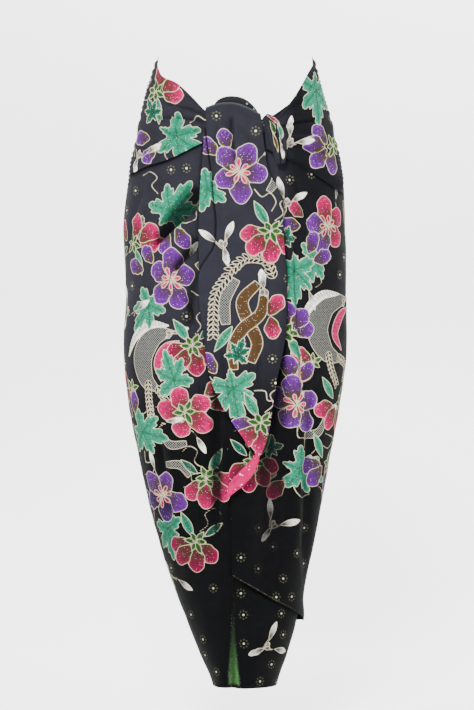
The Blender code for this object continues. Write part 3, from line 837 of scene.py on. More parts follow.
BACK_PLACES = (
    Place("vine", -6, -96, 30, 1, VIOLET),
    Place("cup", 112, -84, 200, -1, VIOLET),
    Place("cup", -112, -92, 160, 1, ROSE),
    Place("blossom", 214, -196, 30, 1, VIOLET),
    Place("vine", -214, -330, 60, 1, ROSE),
    Place("blossom", 210, -440, 190, -1, ROSE),
    Place("vine", -200, -640, 200, 1, VIOLET),
    Place("cup", 150, -690, 20, 1, VIOLET),
    Place("blossom", 52, -176, 20, 1, ROSE),
    Place("bird", -64, -190, 0, -1, VIOLET),
    Place("vine", 140, -200, 200, 1, ROSE),
    Place("blossom", -160, -220, 60, -1, VIOLET),
    Place("cup", -6, -270, 200, 1, VIOLET),
    Place("blossom", 96, -320, 120, 1, MIXED),
    Place("vine", -76, -330, 160, -1, ROSE),
    Place("cup", 190, -330, 30, 1, ROSE),
    Place("ribbons", 10, -430, 0, -1, ROSE),
    Place("cup", -150, -390, 20, 1, ROSE),
    Place("blossom", -96, -480, 200, 1, ROSE),
    Place("blossom", 110, -470, 40, -1, VIOLET),
    Place("cup", -190, -520, 170, 1, VIOLET),
    Place("vine", 170, -560, 0, 1, VIOLET),
    Place("cup", 40, -580, 160, 1, ROSE),
    Place("bird", -50, -640, 20, 1, ROSE),
    Place("blossom", 90, -680, 210, 1, ROSE),
    Place("cup", -130, -650, 190, -1, VIOLET),
    Place("blossom", 6, -780, 90, -1, VIOLET),
    Place("cup", -84, -800, 200, 1, SHADED_ROSE),
    Place("cup", 84, -800, 150, 1, SHADED_ROSE),
    Place("buds", -20, -890, 10, 1, ROSE),
)
STAR_GAP, STAR_ROW = 50 * MM, 41 * MM
STAR_STRAY, STAR_CLEAR = 15 * MM, 9 * MM
CENTRED = ("petal", "frill", "spear", "bud")


def set_down(place, x, z):
    """A spray's own spot, flipped and turned clockwise with it, in the stretch's millimetres."""
    return turned(np.array([[place.flip * x, z]]), (place.x, place.z), place.turn)[0]


def scatter_stars(batik, seed):
    """Stars on a staggered lattice, each strayed a little, wherever nothing is drawn close by."""
    random = np.random.RandomState(seed)
    low, high = batik.flat.min(axis=0), batik.flat.max(axis=0)
    for row, z in enumerate(np.arange(low[1], high[1], STAR_ROW)):
        for x in np.arange(low[0] + 0.5 * STAR_GAP * (row % 2), high[0], STAR_GAP):
            at = np.array([x, z]) + STAR_STRAY * random.uniform(-1.0, 1.0, 2)
            i = np.nonzero((np.abs(batik.flat - at) < STAR_CLEAR).all(axis=1))[0]
            drawn = np.maximum(np.maximum(batik.fill[i], batik.net[i]), batik.wax[i])
            if i.size and drawn.max() < -1.0 * MM:
                batik.put_star(at)


def draw(batik, places, to_flat, seed):
    """Draws one stretch's sprays, all their runs first, so that the flowers lie over the ribbons, and
    then stars on the ground that is left."""
    for place in places:
        for run in SPRAYS[place.spray].runs:
            path = eased_path([to_flat(*set_down(place, *spot)) for spot in run.places])
            getattr(batik, run.kind)(path, run.wide * MM, run.dye)
    for place in places:
        for row in SPRAYS[place.spray].motifs:
            colours = {"upper": place.bloom.upper, "lower": place.bloom.lower, "all": place.bloom}
            colour = colours[row.dye] if isinstance(row.dye, str) else row.dye
            at = to_flat(*set_down(place, row.x, row.z))
            put_motif(batik, row, at, place.turn + place.flip * row.turn, colour)
    scatter_stars(batik, seed)


def put_motif(batik, row, at, turn, colour):
    """Draws one motif. One that stands at its middle is first moved back to its base."""
    if row.kind in CENTRED:
        t = np.radians(turn)
        at = at - 0.5 * row.long * MM * np.array([np.sin(t), np.cos(t)])
    getattr(batik, row.kind)(at, turn, row.long * MM, row.wide * MM, colour)


def plain_flat(x, z):
    return np.array([x, z]) * MM


# ---- Making pieces -------------------------------------------------------------------------------
INNER_STEP = 3


def shadow_beside_tail(theta, z):
    """Painted shadow beside the tail: 1 at the edges of the tail that hangs over a place, fading within a
    few millimetres outside.
    """
    x = across(theta, z) * np.sin(theta)
    left = tail_at(z, "pleat")
    right = tail_at(z, "right")
    outside = np.maximum(np.maximum(left - x, x - right), 0.0)
    return np.exp(-outside / 0.006) * ease(z, -0.615, -0.585) * (np.cos(theta) > 0.0)


def shadow_under_tuck(theta, z):
    """Painted shadow under the tuck: 1 just under it, fading downwards."""
    below = np.maximum(front_line(theta, "tuck") - z, 0.0)
    return np.exp(-below / 0.006) * ease(np.cos(theta), 0.05, 0.3)


def paint_shade(batik, theta, z, rows, covers=()):
    """Painted shade: how little light reaches each point, down in a fold or beside what hangs over it."""
    dark = -folds(theta, z, rows) / 0.013
    for cover in covers:
        dark = np.maximum(dark, cover(theta, z))
    batik.painted_shade = np.clip(dark, 0.0, 1.0).reshape(-1)


def closed_wall(name, outer, flat, batik, material):
    """A closed piece of cloth. The outer face has every grid point. The inner face, which hardly
    shows, has every third one, set in by the wall along the grid's own normal, and each of its edge
    cells is joined to the outer edge by one flat strip."""
    rows, columns = outer.shape[:2]
    down = np.gradient(outer, axis=0)
    over = np.gradient(outer, axis=1)
    normal = np.cross(down, over)
    normal /= np.maximum(np.linalg.norm(normal, axis=-1, keepdims=True), 1e-12)
    inner = (outer - normal * WALL)[::INNER_STEP, ::INNER_STEP]
    a = np.arange(rows * columns).reshape(rows, columns)
    b = rows * columns + np.arange(inner.shape[0] * inner.shape[1]).reshape(inner.shape[:2])
    front = np.stack([a[:-1, :-1], a[1:, :-1], a[1:, 1:], a[:-1, 1:]], axis=-1).reshape(-1, 4)
    behind = np.stack([b[:-1, :-1], b[:-1, 1:], b[1:, 1:], b[1:, :-1]], axis=-1).reshape(-1, 4)
    strips = []
    edges = (
        (a[0], b[0]),
        (a[-1, ::-1], b[-1, ::-1]),
        (a[::-1, 0], b[::-1, 0]),
        (a[:, -1], b[:, -1]),
    )
    for fine, coarse in edges:
        cells = len(coarse) - 1
        parts = [fine[k : k + cells * INNER_STEP + 1 : INNER_STEP][:cells] for k in range(INNER_STEP)]
        parts.append(fine[INNER_STEP::INNER_STEP][:cells])
        strips.append(np.stack(parts + [coarse[1:], coarse[:-1]], axis=-1))
    strips = np.concatenate(strips)
    points = np.concatenate([outer.reshape(-1, 3), inner.reshape(-1, 3)])
    flats = np.concatenate([flat.reshape(-1, 2), flat[::INNER_STEP, ::INNER_STEP].reshape(-1, 2)])
    pick = np.concatenate([a.reshape(-1), a[::INNER_STEP, ::INNER_STEP].reshape(-1)])
    corners = np.concatenate([front.reshape(-1), behind.reshape(-1), strips.reshape(-1)])
    sizes = np.concatenate([np.full(len(front) + len(behind), 4), np.full(len(strips), INNER_STEP + 3)])
    obj = make_object(name, points, corners, sizes, flats, material)
    dress(obj.data, batik, pick)
    return obj


def make_object(name, points, corners, sizes, flats, material):
    """A mesh object from flat arrays: its points, its faces' corners and each face's corner count."""
    mesh = bpy.data.meshes.new(name)
    mesh.vertices.add(len(points))
    mesh.vertices.foreach_set("co", points.astype(np.float32).reshape(-1))
    mesh.loops.add(len(corners))
    mesh.loops.foreach_set("vertex_index", corners.astype(np.int32))
    mesh.polygons.add(len(sizes))
    starts = np.concatenate([[0], np.cumsum(sizes)[:-1]])
    mesh.polygons.foreach_set("loop_start", starts.astype(np.int32))
    mesh.update(calc_edges=True)
    mesh.validate()
    uv = mesh.uv_layers.new(name="cloth")
    uv.data.foreach_set("uv", flats[corners].astype(np.float32).reshape(-1))
    mesh.materials.append(material)
    mesh.shade_smooth()
    mesh.set_sharp_from_angle(angle=np.radians(60))
    obj = bpy.data.objects.new(name, mesh)
    bpy.context.scene.collection.objects.link(obj)
    return obj


def dress(mesh, batik, pick):
    """Keeps the drawing's fields on the mesh's points."""
    far = np.linalg.norm(batik.star, axis=1)
    star = np.concatenate([batik.star, far[:, None]], axis=1)
    tables = (("dye", batik.dye, "FLOAT_VECTOR"), ("star", star, "FLOAT_VECTOR"))
    fields = (("fill", batik.fill), ("wax", batik.wax), ("net", batik.net), ("painted_shade", batik.painted_shade))
    fields += (("edge", batik.edge), ("nearest", batik.nearest))
    for name, values, kind in tables:
        layer = mesh.attributes.new(name, kind, "POINT")
        layer.data.foreach_set("vector", values[pick].astype(np.float32).reshape(-1))
    for name, values in fields:
        layer = mesh.attributes.new(name, "FLOAT", "POINT")
        layer.data.foreach_set("value", values[pick].astype(np.float32))


def roll(name, turns, material, motifs, rings=150, sides=60, ridges=3, cut=0.12, twist=0.0):
    """A tight roll of cloth: an oval ring carried along the tie's path, closed at both ends. Its
    radius is waved by a few pleats that turn with the twist."""
    along = np.linspace(0.0, 1.0, len(turns))
    at = np.linspace(0.0, 1.0, rings)
    x, z, lift, wide, thick = (smooth_read(at, along, column(turns, key)) for key in Turn._fields)
    theta = angle_at(x, z)
    centre = figure(theta, z) + outward(theta, z) * lift[:, None]
    run = np.gradient(centre, axis=0)
    length = np.linalg.norm(run, axis=1)
    run /= length[:, None]
    off = outward(theta, z)
    side = np.cross(run, off)
    side /= np.linalg.norm(side, axis=1, keepdims=True)
    up = np.cross(side, run)
    turn = np.linspace(0.0, 2.0 * np.pi, sides, endpoint=False)[None, :]
    phase = twist * at[:, None]
    pleat = 1.0 - cut * (0.5 + 0.5 * np.cos(ridges * turn + phase)) ** 5
    pleat = pleat - 0.35 * cut * (0.5 + 0.5 * np.cos((2 * ridges + 1) * turn - 1.7 * phase + 1.0)) ** 2
    points = centre[:, None] + side[:, None] * (wide[:, None] * np.cos(turn) * pleat)[..., None]
    points = points + up[:, None] * (thick[:, None] * np.sin(turn) * pleat)[..., None]
    corner = np.arange(rings * sides).reshape(rings, sides)
    after = np.roll(corner, -1, axis=1)
    quads = np.stack([corner[:-1], corner[1:], after[1:], after[:-1]], axis=-1).reshape(-1)
    corners = np.concatenate([quads, corner[0], corner[-1, ::-1]])
    sizes = np.concatenate([np.full((rings - 1) * sides, 4), [sides, sides]])
    way = np.cumsum(length)
    round_it = wide.max() * (turn - np.pi)
    flats = np.stack(np.broadcast_arrays(round_it, way[:, None]), axis=-1).reshape(-1, 2)
    batik = Batik(flats)
    for row in motifs:
        put_motif(batik, row, plain_flat(row.x, row.z), row.turn, row.dye)
    # Painted shade in the grooves between the roll's pleats.
    batik.painted_shade = np.clip((1.0 - pleat) / (1.2 * cut), 0.0, 1.0).reshape(-1)
    obj = make_object(name, points.reshape(-1, 3), corners, sizes, flats, material)
    dress(obj.data, batik, np.arange(len(flats)))
    return obj


# ---- Materials -----------------------------------------------------------------------------------
class Nodes:
    """Short ways to make and join nodes in one tree."""

    def __init__(self, tree):
        self.tree = tree

    def make(self, kind, **settings):
        node = self.tree.nodes.new(kind)
        for key, value in settings.items():
            setattr(node, key, value)
        return node

    def put(self, socket, value):
        if isinstance(value, bpy.types.NodeSocket):
            self.tree.links.new(value, socket)
        else:
            socket.default_value = value

    def math(self, operation, first, second=0.0, third=0.0):
        node = self.make("ShaderNodeMath", operation=operation)
        for socket, value in zip(node.inputs, (first, second, third)):
            self.put(socket, value)
        return node.outputs[0]

    def step(self, value, start, end, low=0.0, high=1.0):
        """A smooth turn from low to high between two values."""
        node = self.make("ShaderNodeMapRange", interpolation_type="SMOOTHSTEP")
        for socket, item in zip(node.inputs, (value, start, end, low, high)):
            self.put(socket, item)
        return node.outputs[0]

    def mix(self, share, first, last):
        node = self.make("ShaderNodeMix", data_type="RGBA")
        self.put(node.inputs[0], share)
        self.put(node.inputs[6], first)
        self.put(node.inputs[7], last)
        return node.outputs[2]

    def hypot(self, first, second):
        squares = [self.math("MULTIPLY", side, side) for side in (first, second)]
        return self.math("SQRT", self.math("ADD", *squares))

    def read(self, name, output="Fac"):
        return self.make("ShaderNodeAttribute", attribute_name=name).outputs[output]

    def noise(self, place, scale, detail=3.0, rough=0.55):
        node = self.make("ShaderNodeTexNoise")
        self.put(node.inputs["Vector"], place)
        node.inputs["Scale"].default_value = scale
        node.inputs["Detail"].default_value = detail
        node.inputs["Roughness"].default_value = rough
        return node.outputs[0]


def opaque(colour):
    return (*[float(c) for c in colour], 1.0)


def ink(red, green, blue):
    return opaque(dye(red, green, blue))


STAR_RING, STAR_DOT, STAR_HEART = 0.0066, 0.0014, 0.0018
# Radians a metre of the woven threads and of the netted ribbons' crossed lines.
WEAVE_WAVES, NET_WAVES = 6200.0, 1500.0
ROUGH, GLOSS, SHEEN, SHEEN_ROUGH = 0.86, 0.05, 0.015, 0.5
BUMP_STRENGTH, BUMP_DEPTH = 0.35, 0.0006


def batik_group():
    """The batik's colour and height, from the drawing's fields.

    Ground: navy black, mottled by noise, with painted light that makes it lighter high up, and far less
    so on the right. Dye covers it where the fill is above 0, stippled with small resist dots. Netted
    ribbons have two sets of thin crossed lines. A star is a pale middle with eight dots on a ring, on the
    ground alone. Wax is a cream line with some of the dye's colour. Painted shade makes ground, dye, wax
    and stars all darker low down, and darkens folds, the edges beside the tail and the cloth under the
    tuck. The height is the weave's two sine waves and a low noise."""
    group = bpy.data.node_groups.new("batik_drawing", "ShaderNodeTree")
    group.interface.new_socket(name="Colour", in_out="OUTPUT", socket_type="NodeSocketColor")
    group.interface.new_socket(name="Height", in_out="OUTPUT", socket_type="NodeSocketFloat")
    n = Nodes(group)
    cloth = n.make("ShaderNodeUVMap", uv_map="cloth").outputs[0]
    split = n.make("ShaderNodeSeparateXYZ")
    n.put(split.inputs[0], cloth)
    u, v = split.outputs[0], split.outputs[1]

    wander = n.math("MULTIPLY_ADD", n.noise(cloth, 260.0), 0.0007, -0.00035)
    fill = n.step(n.math("ADD", n.read("fill"), wander), -0.0003, 0.0003)
    stroke = n.step(n.math("ADD", n.read("wax"), wander), -0.0003, 0.0003)
    off_edge = n.math("ABSOLUTE", n.math("ADD", n.read("edge"), wander))
    by_edge = n.step(n.read("nearest"), 0.0024, 0.0019)
    outline = n.math("MULTIPLY", n.step(off_edge, WAX_LINE + 0.00025, WAX_LINE - 0.00025), by_edge)
    wax = n.math("MAXIMUM", stroke, outline)
    net = n.step(n.read("net"), -0.0002, 0.0003)

    # Painted light: the ground is lighter high up, and far less so to the right of the tail, as though
    # lit from high on the left.
    high = n.math("MULTIPLY", n.step(v, -0.60, -0.34), n.step(u, 0.062, 0.100, 1.0, 0.22))
    mottle = n.noise(cloth, 34.0, 5.0, 0.62)
    ground_in_shade = n.mix(mottle, ink(0.004, 0.006, 0.006), ink(0.018, 0.022, 0.024))
    ground_in_light = n.mix(mottle, ink(0.085, 0.085, 0.105), ink(0.145, 0.145, 0.175))
    ground = n.mix(high, ground_in_shade, ground_in_light)

    star = n.make("ShaderNodeSeparateXYZ")
    n.put(star.inputs[0], n.read("star", "Vector"))
    radius = n.hypot(star.outputs[0], star.outputs[1])
    angle = n.math("ARCTAN2", star.outputs[1], star.outputs[0])
    eighth = float(np.pi / 4.0)
    local = n.math("PINGPONG", n.math("ADD", angle, 4.0 * eighth), eighth / 2.0)
    off_x = n.math("SUBTRACT", n.math("MULTIPLY", radius, n.math("COSINE", local)), STAR_RING)
    off_y = n.math("MULTIPLY", radius, n.math("SINE", local))
    from_dot = n.hypot(off_x, off_y)
    inside_star = n.step(star.outputs[2], 0.0110, 0.0100)
    dots = n.math("MULTIPLY", n.step(from_dot, STAR_DOT + 0.0003, STAR_DOT - 0.0002), inside_star)
    heart = n.math("MULTIPLY", n.step(radius, STAR_HEART + 0.0003, STAR_HEART - 0.0003), inside_star)
    # Painted shade: the stars are dimmer low down, as are the dye and the wax below.
    plain = n.step(v, -0.45, -0.80, 1.0, 0.45)
    ground = n.mix(n.math("MULTIPLY", dots, plain), ground, ink(0.29, 0.29, 0.20))
    ground = n.mix(n.math("MULTIPLY", heart, plain), ground, ink(0.86, 0.85, 0.76))

    # Crossed lines in the netted ribbons: where either diagonal wave of the flat place crests.
    lines = []
    for sign in (1.0, -1.0):
        slant = n.math("MULTIPLY_ADD", v, sign, u)
        wave = n.math("SINE", n.math("MULTIPLY", slant, NET_WAVES))
        lines.append(n.step(wave, 0.80, 0.97))
    crossed = n.math("MULTIPLY", n.math("MAXIMUM", lines[0], lines[1]), net)
    ground = n.mix(crossed, ground, ink(0.55, 0.55, 0.52))

    tint = n.read("dye", "Color")
    soft = n.noise(cloth, 210.0, 5.0, 0.7)
    tint = n.mix(n.step(soft, 0.40, 0.66, 0.0, 0.50), tint, ink(0.16, 0.12, 0.18))
    specks = n.make("ShaderNodeTexVoronoi", feature="F1")
    n.put(specks.inputs["Vector"], cloth)
    specks.inputs["Scale"].default_value = 330.0
    specks.inputs["Randomness"].default_value = 0.7
    speck = n.step(specks.outputs["Distance"], 0.20, 0.12, 0.0, 0.55)
    tint = n.mix(speck, tint, ink(0.92, 0.88, 0.86))
    # Painted shade: the dye darkens towards the hem.
    tint = n.mix(n.step(v, -0.50, -0.85, 0.0, 0.50), tint, ink(0.02, 0.02, 0.04))
    colour = n.mix(fill, ground, tint)
    pale = n.mix(0.22, ink(0.78, 0.74, 0.61), n.read("dye", "Color"))
    # Painted shade dims the wax low down.
    colour = n.mix(n.math("MULTIPLY", wax, n.step(v, -0.45, -0.80, 0.92, 0.60)), colour, pale)

    # Painted shade, at the bottom of folds, in the rolls' pleats, beside the tail's edges and under the
    # tuck: on so dark a cloth, light alone hardly shows it.
    painted_shade = n.step(n.read("painted_shade"), 0.12, 0.9, 0.0, 0.86)
    colour = n.mix(painted_shade, colour, ink(0.015, 0.015, 0.02))

    # Fine cracks of dye across the wax, and the thread's own small changes of shade.
    thread = n.noise(cloth, 900.0, 2.0, 0.5)
    colour = n.mix(n.step(thread, 0.40, 0.72, 0.0, 0.22), colour, ink(0.05, 0.05, 0.07))

    warp = n.math("SINE", n.math("MULTIPLY", u, WEAVE_WAVES))
    weft = n.math("SINE", n.math("MULTIPLY", v, WEAVE_WAVES))
    weave = n.math("MULTIPLY", n.math("MULTIPLY", warp, weft), 0.5)
    rumple = n.math("MULTIPLY", n.noise(cloth, 75.0, 4.0), 1.6)
    height = n.math("ADD", n.math("MULTIPLY", weave, 0.5), rumple)
    out = n.make("NodeGroupOutput")
    n.put(out.inputs[0], colour)
    n.put(out.inputs[1], height)
    return group


def cloth_material(name, group, plain=None, plain_share=0.0, rows=None):
    """Dyed cotton: matt, with a soft sheen and a low bump. A plain dye may cover part of the batik,
    with rows of small resist dots where rows gives their colour."""
    material = bpy.data.materials.new(name)
    material.use_nodes = True
    n = Nodes(material.node_tree)
    shader = material.node_tree.nodes["Principled BSDF"]
    drawing = n.make("ShaderNodeGroup", node_tree=group)
    colour = drawing.outputs[0]
    if plain is not None:
        cloth = n.make("ShaderNodeUVMap", uv_map="cloth").outputs[0]
        patches = n.noise(cloth, 55.0, 3.0)
        tone = n.mix(patches, opaque(plain), opaque(plain * 0.45))
        if rows is not None:
            dots = n.make("ShaderNodeTexVoronoi", feature="F1")
            n.put(dots.inputs["Vector"], cloth)
            dots.inputs["Scale"].default_value = 150.0
            dots.inputs["Randomness"].default_value = 0.85
            tone = n.mix(n.step(dots.outputs["Distance"], 0.27, 0.17), tone, opaque(rows))
        colour = n.mix(plain_share, colour, tone)
    n.put(shader.inputs["Base Color"], colour)
    shader.inputs["Roughness"].default_value = ROUGH
    shader.inputs["Specular IOR Level"].default_value = GLOSS
    shader.inputs["Sheen Weight"].default_value = SHEEN
    shader.inputs["Sheen Roughness"].default_value = SHEEN_ROUGH
    bump = n.make("ShaderNodeBump")
    bump.inputs["Strength"].default_value = BUMP_STRENGTH
    bump.inputs["Distance"].default_value = BUMP_DEPTH
    n.put(bump.inputs["Height"], drawing.outputs[1])
    n.put(shader.inputs["Normal"], bump.outputs[0])
    return material


# ---- The stretches of cloth ----------------------------------------------------------------------
def over_lift(theta):
    """The winding's spiral round the back: outer at the right side, inner at the left side."""
    return OVER_LIFT * ease(theta, 3.0 * SIDE, SIDE)


def hem_kick(theta, z, gone):
    """How far the right side's hem stands off: full at the side, and gone by an angle."""
    return HEM_KICK * ease(z, KICK_FROM_Z, KICK_FULL_Z) * ease(theta, gone, SIDE)


def lapped_top(theta):
    """Where the cloth below the tuck begins: behind the waist in front, and just under it at the side."""
    return front_line(theta, "tuck") + between(0.0, LAP, ease(np.abs(theta), 1.25, 0.95))


def grid(rows, columns):
    """Even shares down and across a stretch, each a whole number of inner cells."""
    fewer = 1
    rows = rows // fewer // INNER_STEP * INNER_STEP + 1
    columns = columns // fewer // INNER_STEP * INNER_STEP + 1
    return np.linspace(0.0, 1.0, rows)[:, None], np.linspace(0.0, 1.0, columns)[None, :]


# The pale gore low in front, which widens down to the hem.
GORE_TOP = (-4, -806)
GORE_LONG, GORE_WIDE = 0.186, 0.026
# How far round the inner end reaches, high up and low down.
UNDER_END_HIGH, UNDER_END_LOW = 0.22, 1.95


def wrap_under(material):
    """The inner end: from the left side across the front, and low down on round to the back."""
    down, share = grid(456, 192)
    z_guess = between(-0.10, HEM_Z, down)
    end = between(UNDER_END_HIGH, UNDER_END_LOW, ease(z_guess, -0.50, -0.86))
    theta = -SIDE + (end + SIDE) * share
    top = lapped_top(np.minimum(theta, 0.30))
    z = between(top, HEM_Z, down)
    theta = theta + 0.0 * z
    covered = ease(theta, 0.0, 0.25) * ease(z, -0.86, -0.80)
    flat = flat_front(theta, z)
    batik = Batik(flat)
    batik.wedge(seen_front(*GORE_TOP), 180.0, GORE_LONG, GORE_WIDE, WEDGE)
    draw(batik, UNDER_PLACES, seen_front, 1)
    paint_shade(batik, theta, z, FOLDS, (shadow_beside_tail, shadow_under_tuck))
    return closed_wall("under_cloth", place(theta, z, -UNDER_SINK * covered), flat, batik, material)


def wrap_back(material):
    """The stretch round the back, from the right side to the left side."""
    down, share = grid(360, 198)
    theta = SIDE + 2.0 * SIDE * share
    hem = between(SIDE_HEM_Z, HEM_Z, ease(theta, SIDE, 3.0 * SIDE))
    theta = theta + 0.0 * down
    z = between(back_rim(theta), hem, down)
    kick = hem_kick(theta, z, SIDE + KICK_REACH)
    flat = flat_back(theta, z)
    batik = Batik(flat)
    draw(batik, BACK_PLACES, plain_flat, 2)
    paint_shade(batik, theta, z, FOLDS)
    return closed_wall("back_cloth", place(theta, z, over_lift(theta) + kick), flat, batik, material)


def over_hem(theta):
    return smooth_read(theta, column(OVER_HEM, "theta"), column(OVER_HEM, "z"))


def wrap_over(material):
    """The outer end: from the right side across to its free edge, which the tail covers higher up."""
    down, share = grid(408, 132)
    z_guess = between(-0.10, -0.82, down)
    edge_x = smooth_read(z_guess, column(OVER_EDGE, "z"), column(OVER_EDGE, "x"))
    theta = between(angle_at(edge_x, z_guess), SIDE, share)
    hem = over_hem(theta)
    z = between(lapped_top(theta), hem, down)
    kick = hem_kick(theta, z, SIDE - KICK_REACH)
    flat = flat_front(theta, z)
    batik = Batik(flat)
    draw(batik, OVER_PLACES, seen_front, 3)
    # A painted highlight along the hem: a pale line a little in from its turned edge.
    edge = np.linspace(theta[-1].min(), theta[-1].max(), 60)
    batik.stroke(flat_front(edge, over_hem(edge) + HEM_HIGHLIGHT_IN), HEM_HIGHLIGHT_HALF)
    paint_shade(batik, theta, z, FOLDS, (shadow_beside_tail, shadow_under_tuck))
    return closed_wall("over_cloth", place(theta, z, OVER_LIFT + kick), flat, batik, material)


FOLD_FROM, SWELL, TURN_IN = 0.90, 0.0016, 0.0025


def waist(name, knot_angle, side_lift, knot_lift, material):
    """The waist's own stretch from one side to the knot. Its lower edge swells into a soft fold and
    is then turned in over the tuck."""
    side_angle = np.sign(knot_angle) * SIDE
    down, share = grid(108, 123)
    theta = between(side_angle, knot_angle, share)
    if knot_angle > 0.0:
        theta = theta[:, ::-1]
    theta = theta + 0.0 * down
    down = down + 0.0 * theta
    lift = between(side_lift, knot_lift, ease(np.abs(theta), 1.52, 1.22))
    lapping = ease(np.abs(theta), 1.50, 1.30)
    swell = SWELL * np.exp(-(((down - FOLD_FROM) / 0.06) ** 2))
    turned_in = TURN_IN * ease(down, 0.95, 1.0)
    z = between(front_line(theta, "rim"), front_line(theta, "tuck"), down)
    flat = flat_front(theta, z)
    batik = Batik(flat)
    draw(batik, BAND_PLACES, seen_front, 4)
    paint_shade(batik, theta, z, WAIST_FOLDS)
    points = place(theta, z, lift + (swell - turned_in) * lapping, WAIST_FOLDS)
    return closed_wall(name, points, flat, batik, material)


TAIL_FOLDS = (
    Fold("front", "crease", -0.006, -0.052, 0.002, -0.128, 0.003, 0.006, 0.004, 0.0050),
    Fold("front", "trough", 0.018, -0.060, 0.038, -0.300, 0.004, 0.008, 0.012, 0.0025),
    Fold("front", "ridge", -0.014, -0.140, -0.022, -0.400, 0.002, 0.007, 0.008, 0.0026),
    Fold("front", "crease", 0.046, -0.190, 0.060, -0.430, 0.003, 0.006, 0.005, 0.0030),
    Fold("front", "ridge", 0.030, -0.330, 0.024, -0.560, -0.003, 0.009, 0.006, 0.0030),
    Fold("front", "trough", -0.034, -0.360, 0.008, -0.565, 0.004, 0.007, 0.005, 0.0030),
    Fold("front", "crease", 0.040, -0.400, 0.036, -0.590, 0.002, 0.005, 0.003, 0.0028),
    Fold("front", "crease", -0.028, -0.048, -0.034, -0.180, 0.002, 0.004, 0.004, 0.0024),
)


def tail_lift(z):
    """The tail lies on the wrap high up, and hangs nearly plumb where the figure narrows."""
    return TAIL_LIFT + TAIL_PLUMB * (reach(-0.346, "front") - reach(np.minimum(z, -0.346), "front"))


def tail_drawing(flat):
    batik = Batik(flat)
    draw(batik, TAIL_PLACES, plain_flat, 5)
    return batik


def front_tail(material):
    """The free end: it comes over the waist as an arch and falls to a narrow end."""
    down, share = grid(447, 99)
    arch = smooth_read(share, np.linspace(0.0, 1.0, len(TAIL_ARCH)), TAIL_ARCH)
    z = between(arch - 0.006, TAIL[-1].z, down)
    left = tail_at(z, "left")
    right = tail_at(z, "right")
    x = between(left, right, share)
    lift = tail_lift(z) + 0.0016 * np.sin(9.0 * share + 1.0) * ease(down, 0.02, 0.2)
    front = place(angle_at(x, z), z, lift, TAIL_FOLDS)
    # Over the arch and down behind it, by a smooth run through four places.
    hook = np.linspace(0.0, 1.0, 22)[:-1, None]
    knots = (0.0, 0.45, 0.8, 1.0)
    drop = smooth_read(hook, knots, (TAIL_HOOK, 0.008, 0.001, 0.000))
    back_z = arch - drop
    back_lift = smooth_read(hook, knots, (-0.0048, -0.0036, 0.0020, 0.0080)) + 0.0 * share
    back_x = x[:1] + 0.0 * back_z
    back = place(angle_at(back_x, back_z), back_z, back_lift, ())
    points = np.concatenate([back, front])
    flat_z = np.concatenate([arch + (arch - back_z), z])
    flat = np.stack([np.concatenate([back_x, x]), flat_z], axis=-1)
    spare = (len(points) - 1) % INNER_STEP
    points, flat = points[spare:], flat[spare:]
    batik = tail_drawing(flat)
    theta = angle_at(flat[..., 0], flat[..., 1])
    # Painted shade in the tail's own folds.
    batik.painted_shade = np.clip(-folds(theta, flat[..., 1], TAIL_FOLDS) / 0.008, 0.0, 1.0).reshape(-1)
    return closed_wall("tail_cloth", points, flat, batik, material)


def tail_pleat(material):
    """The pleat that shows behind the tail's left fold."""
    down, share = grid(198, 24)
    z = between(-0.072, -0.400, down)
    outer = tail_at(z, "pleat")
    inner = tail_at(z, "left") + 0.010
    x = between(outer, np.maximum(inner, outer + 0.006), share)
    z = z + 0.0 * share
    lift = TAIL_LIFT - 0.0032 + 0.0 * share
    flat = np.stack([x, z], axis=-1)
    batik = tail_drawing(flat)
    fold_x = tail_at(z, "left")
    # Painted shadow where the tail's left fold hangs over the pleat.
    batik.painted_shade = (0.9 * ease(x, fold_x - 0.007, fold_x - 0.001)).reshape(-1)
    return closed_wall("tail_pleat_cloth", place(angle_at(x, z), z, lift, ()), flat, batik, material)


# ---- Everything together -------------------------------------------------------------------------
drawing_group = batik_group()
black = cloth_material("black_batik", drawing_group)
DARK_DYE, DARK_DOTS = dye(0.13, 0.13, 0.14), dye(0.58, 0.58, 0.54)
ROSE_DYE, ROSE_DOTS = dye(0.74, 0.02, 0.34), dye(0.92, 0.80, 0.82)
dotted = cloth_material("pale_batik", drawing_group, DARK_DYE, 0.9, DARK_DOTS)
rose = cloth_material("rose_batik", drawing_group, ROSE_DYE, 0.96, ROSE_DOTS)

TURN_MOTIFS = (
    Motif("petal", -14, 12, 30, 20, 10, PINK),
    Motif("spear", -26, 24, 170, 26, 9, FERN),
    Motif("spear", -14, 34, 175, 34, 9, MINT),
    Motif("spear", -30, 50, 5, 34, 7, OLIVE),
    Motif("bud", -18, 66, 10, 28, 9, WHITE),
)

Piece = namedtuple("Piece", "mesh stands_for slot")
pieces = (
    Piece(wrap_under(black), "wrap_under", "black_batik"),
    Piece(wrap_back(black), "wrap_back", "black_batik"),
    Piece(wrap_over(black), "wrap_over", "black_batik"),
    Piece(waist("waist_cloth_left", -0.27, 0.0, 0.0065, black), "waist_left", "black_batik"),
    Piece(waist("waist_cloth_right", 0.29, OVER_LIFT, 0.0110, black), "waist_right", "black_batik"),
    Piece(front_tail(black), "front_tail", "black_batik"),
    Piece(tail_pleat(black), "tail_pleat", "black_batik"),
    Piece(
        roll("knot_turn_cloth", KNOT_TURN, black, TURN_MOTIFS, ridges=8, cut=0.55, twist=2.6),
        "knot_turn",
        "black_batik",
    ),
    Piece(
        roll("knot_roll_cloth", KNOT_ROLL, dotted, (), ridges=3, cut=0.16, twist=3.0),
        "knot_roll",
        "pale_batik",
    ),
    Piece(
        roll("tip_cloth", TAIL_TIP, rose, (), ridges=3, cut=0.34, twist=7.0),
        "tail_tip",
        "rose_batik",
    ),
)
for piece in pieces:
    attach(piece.mesh, "root")
    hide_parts(piece.stands_for)

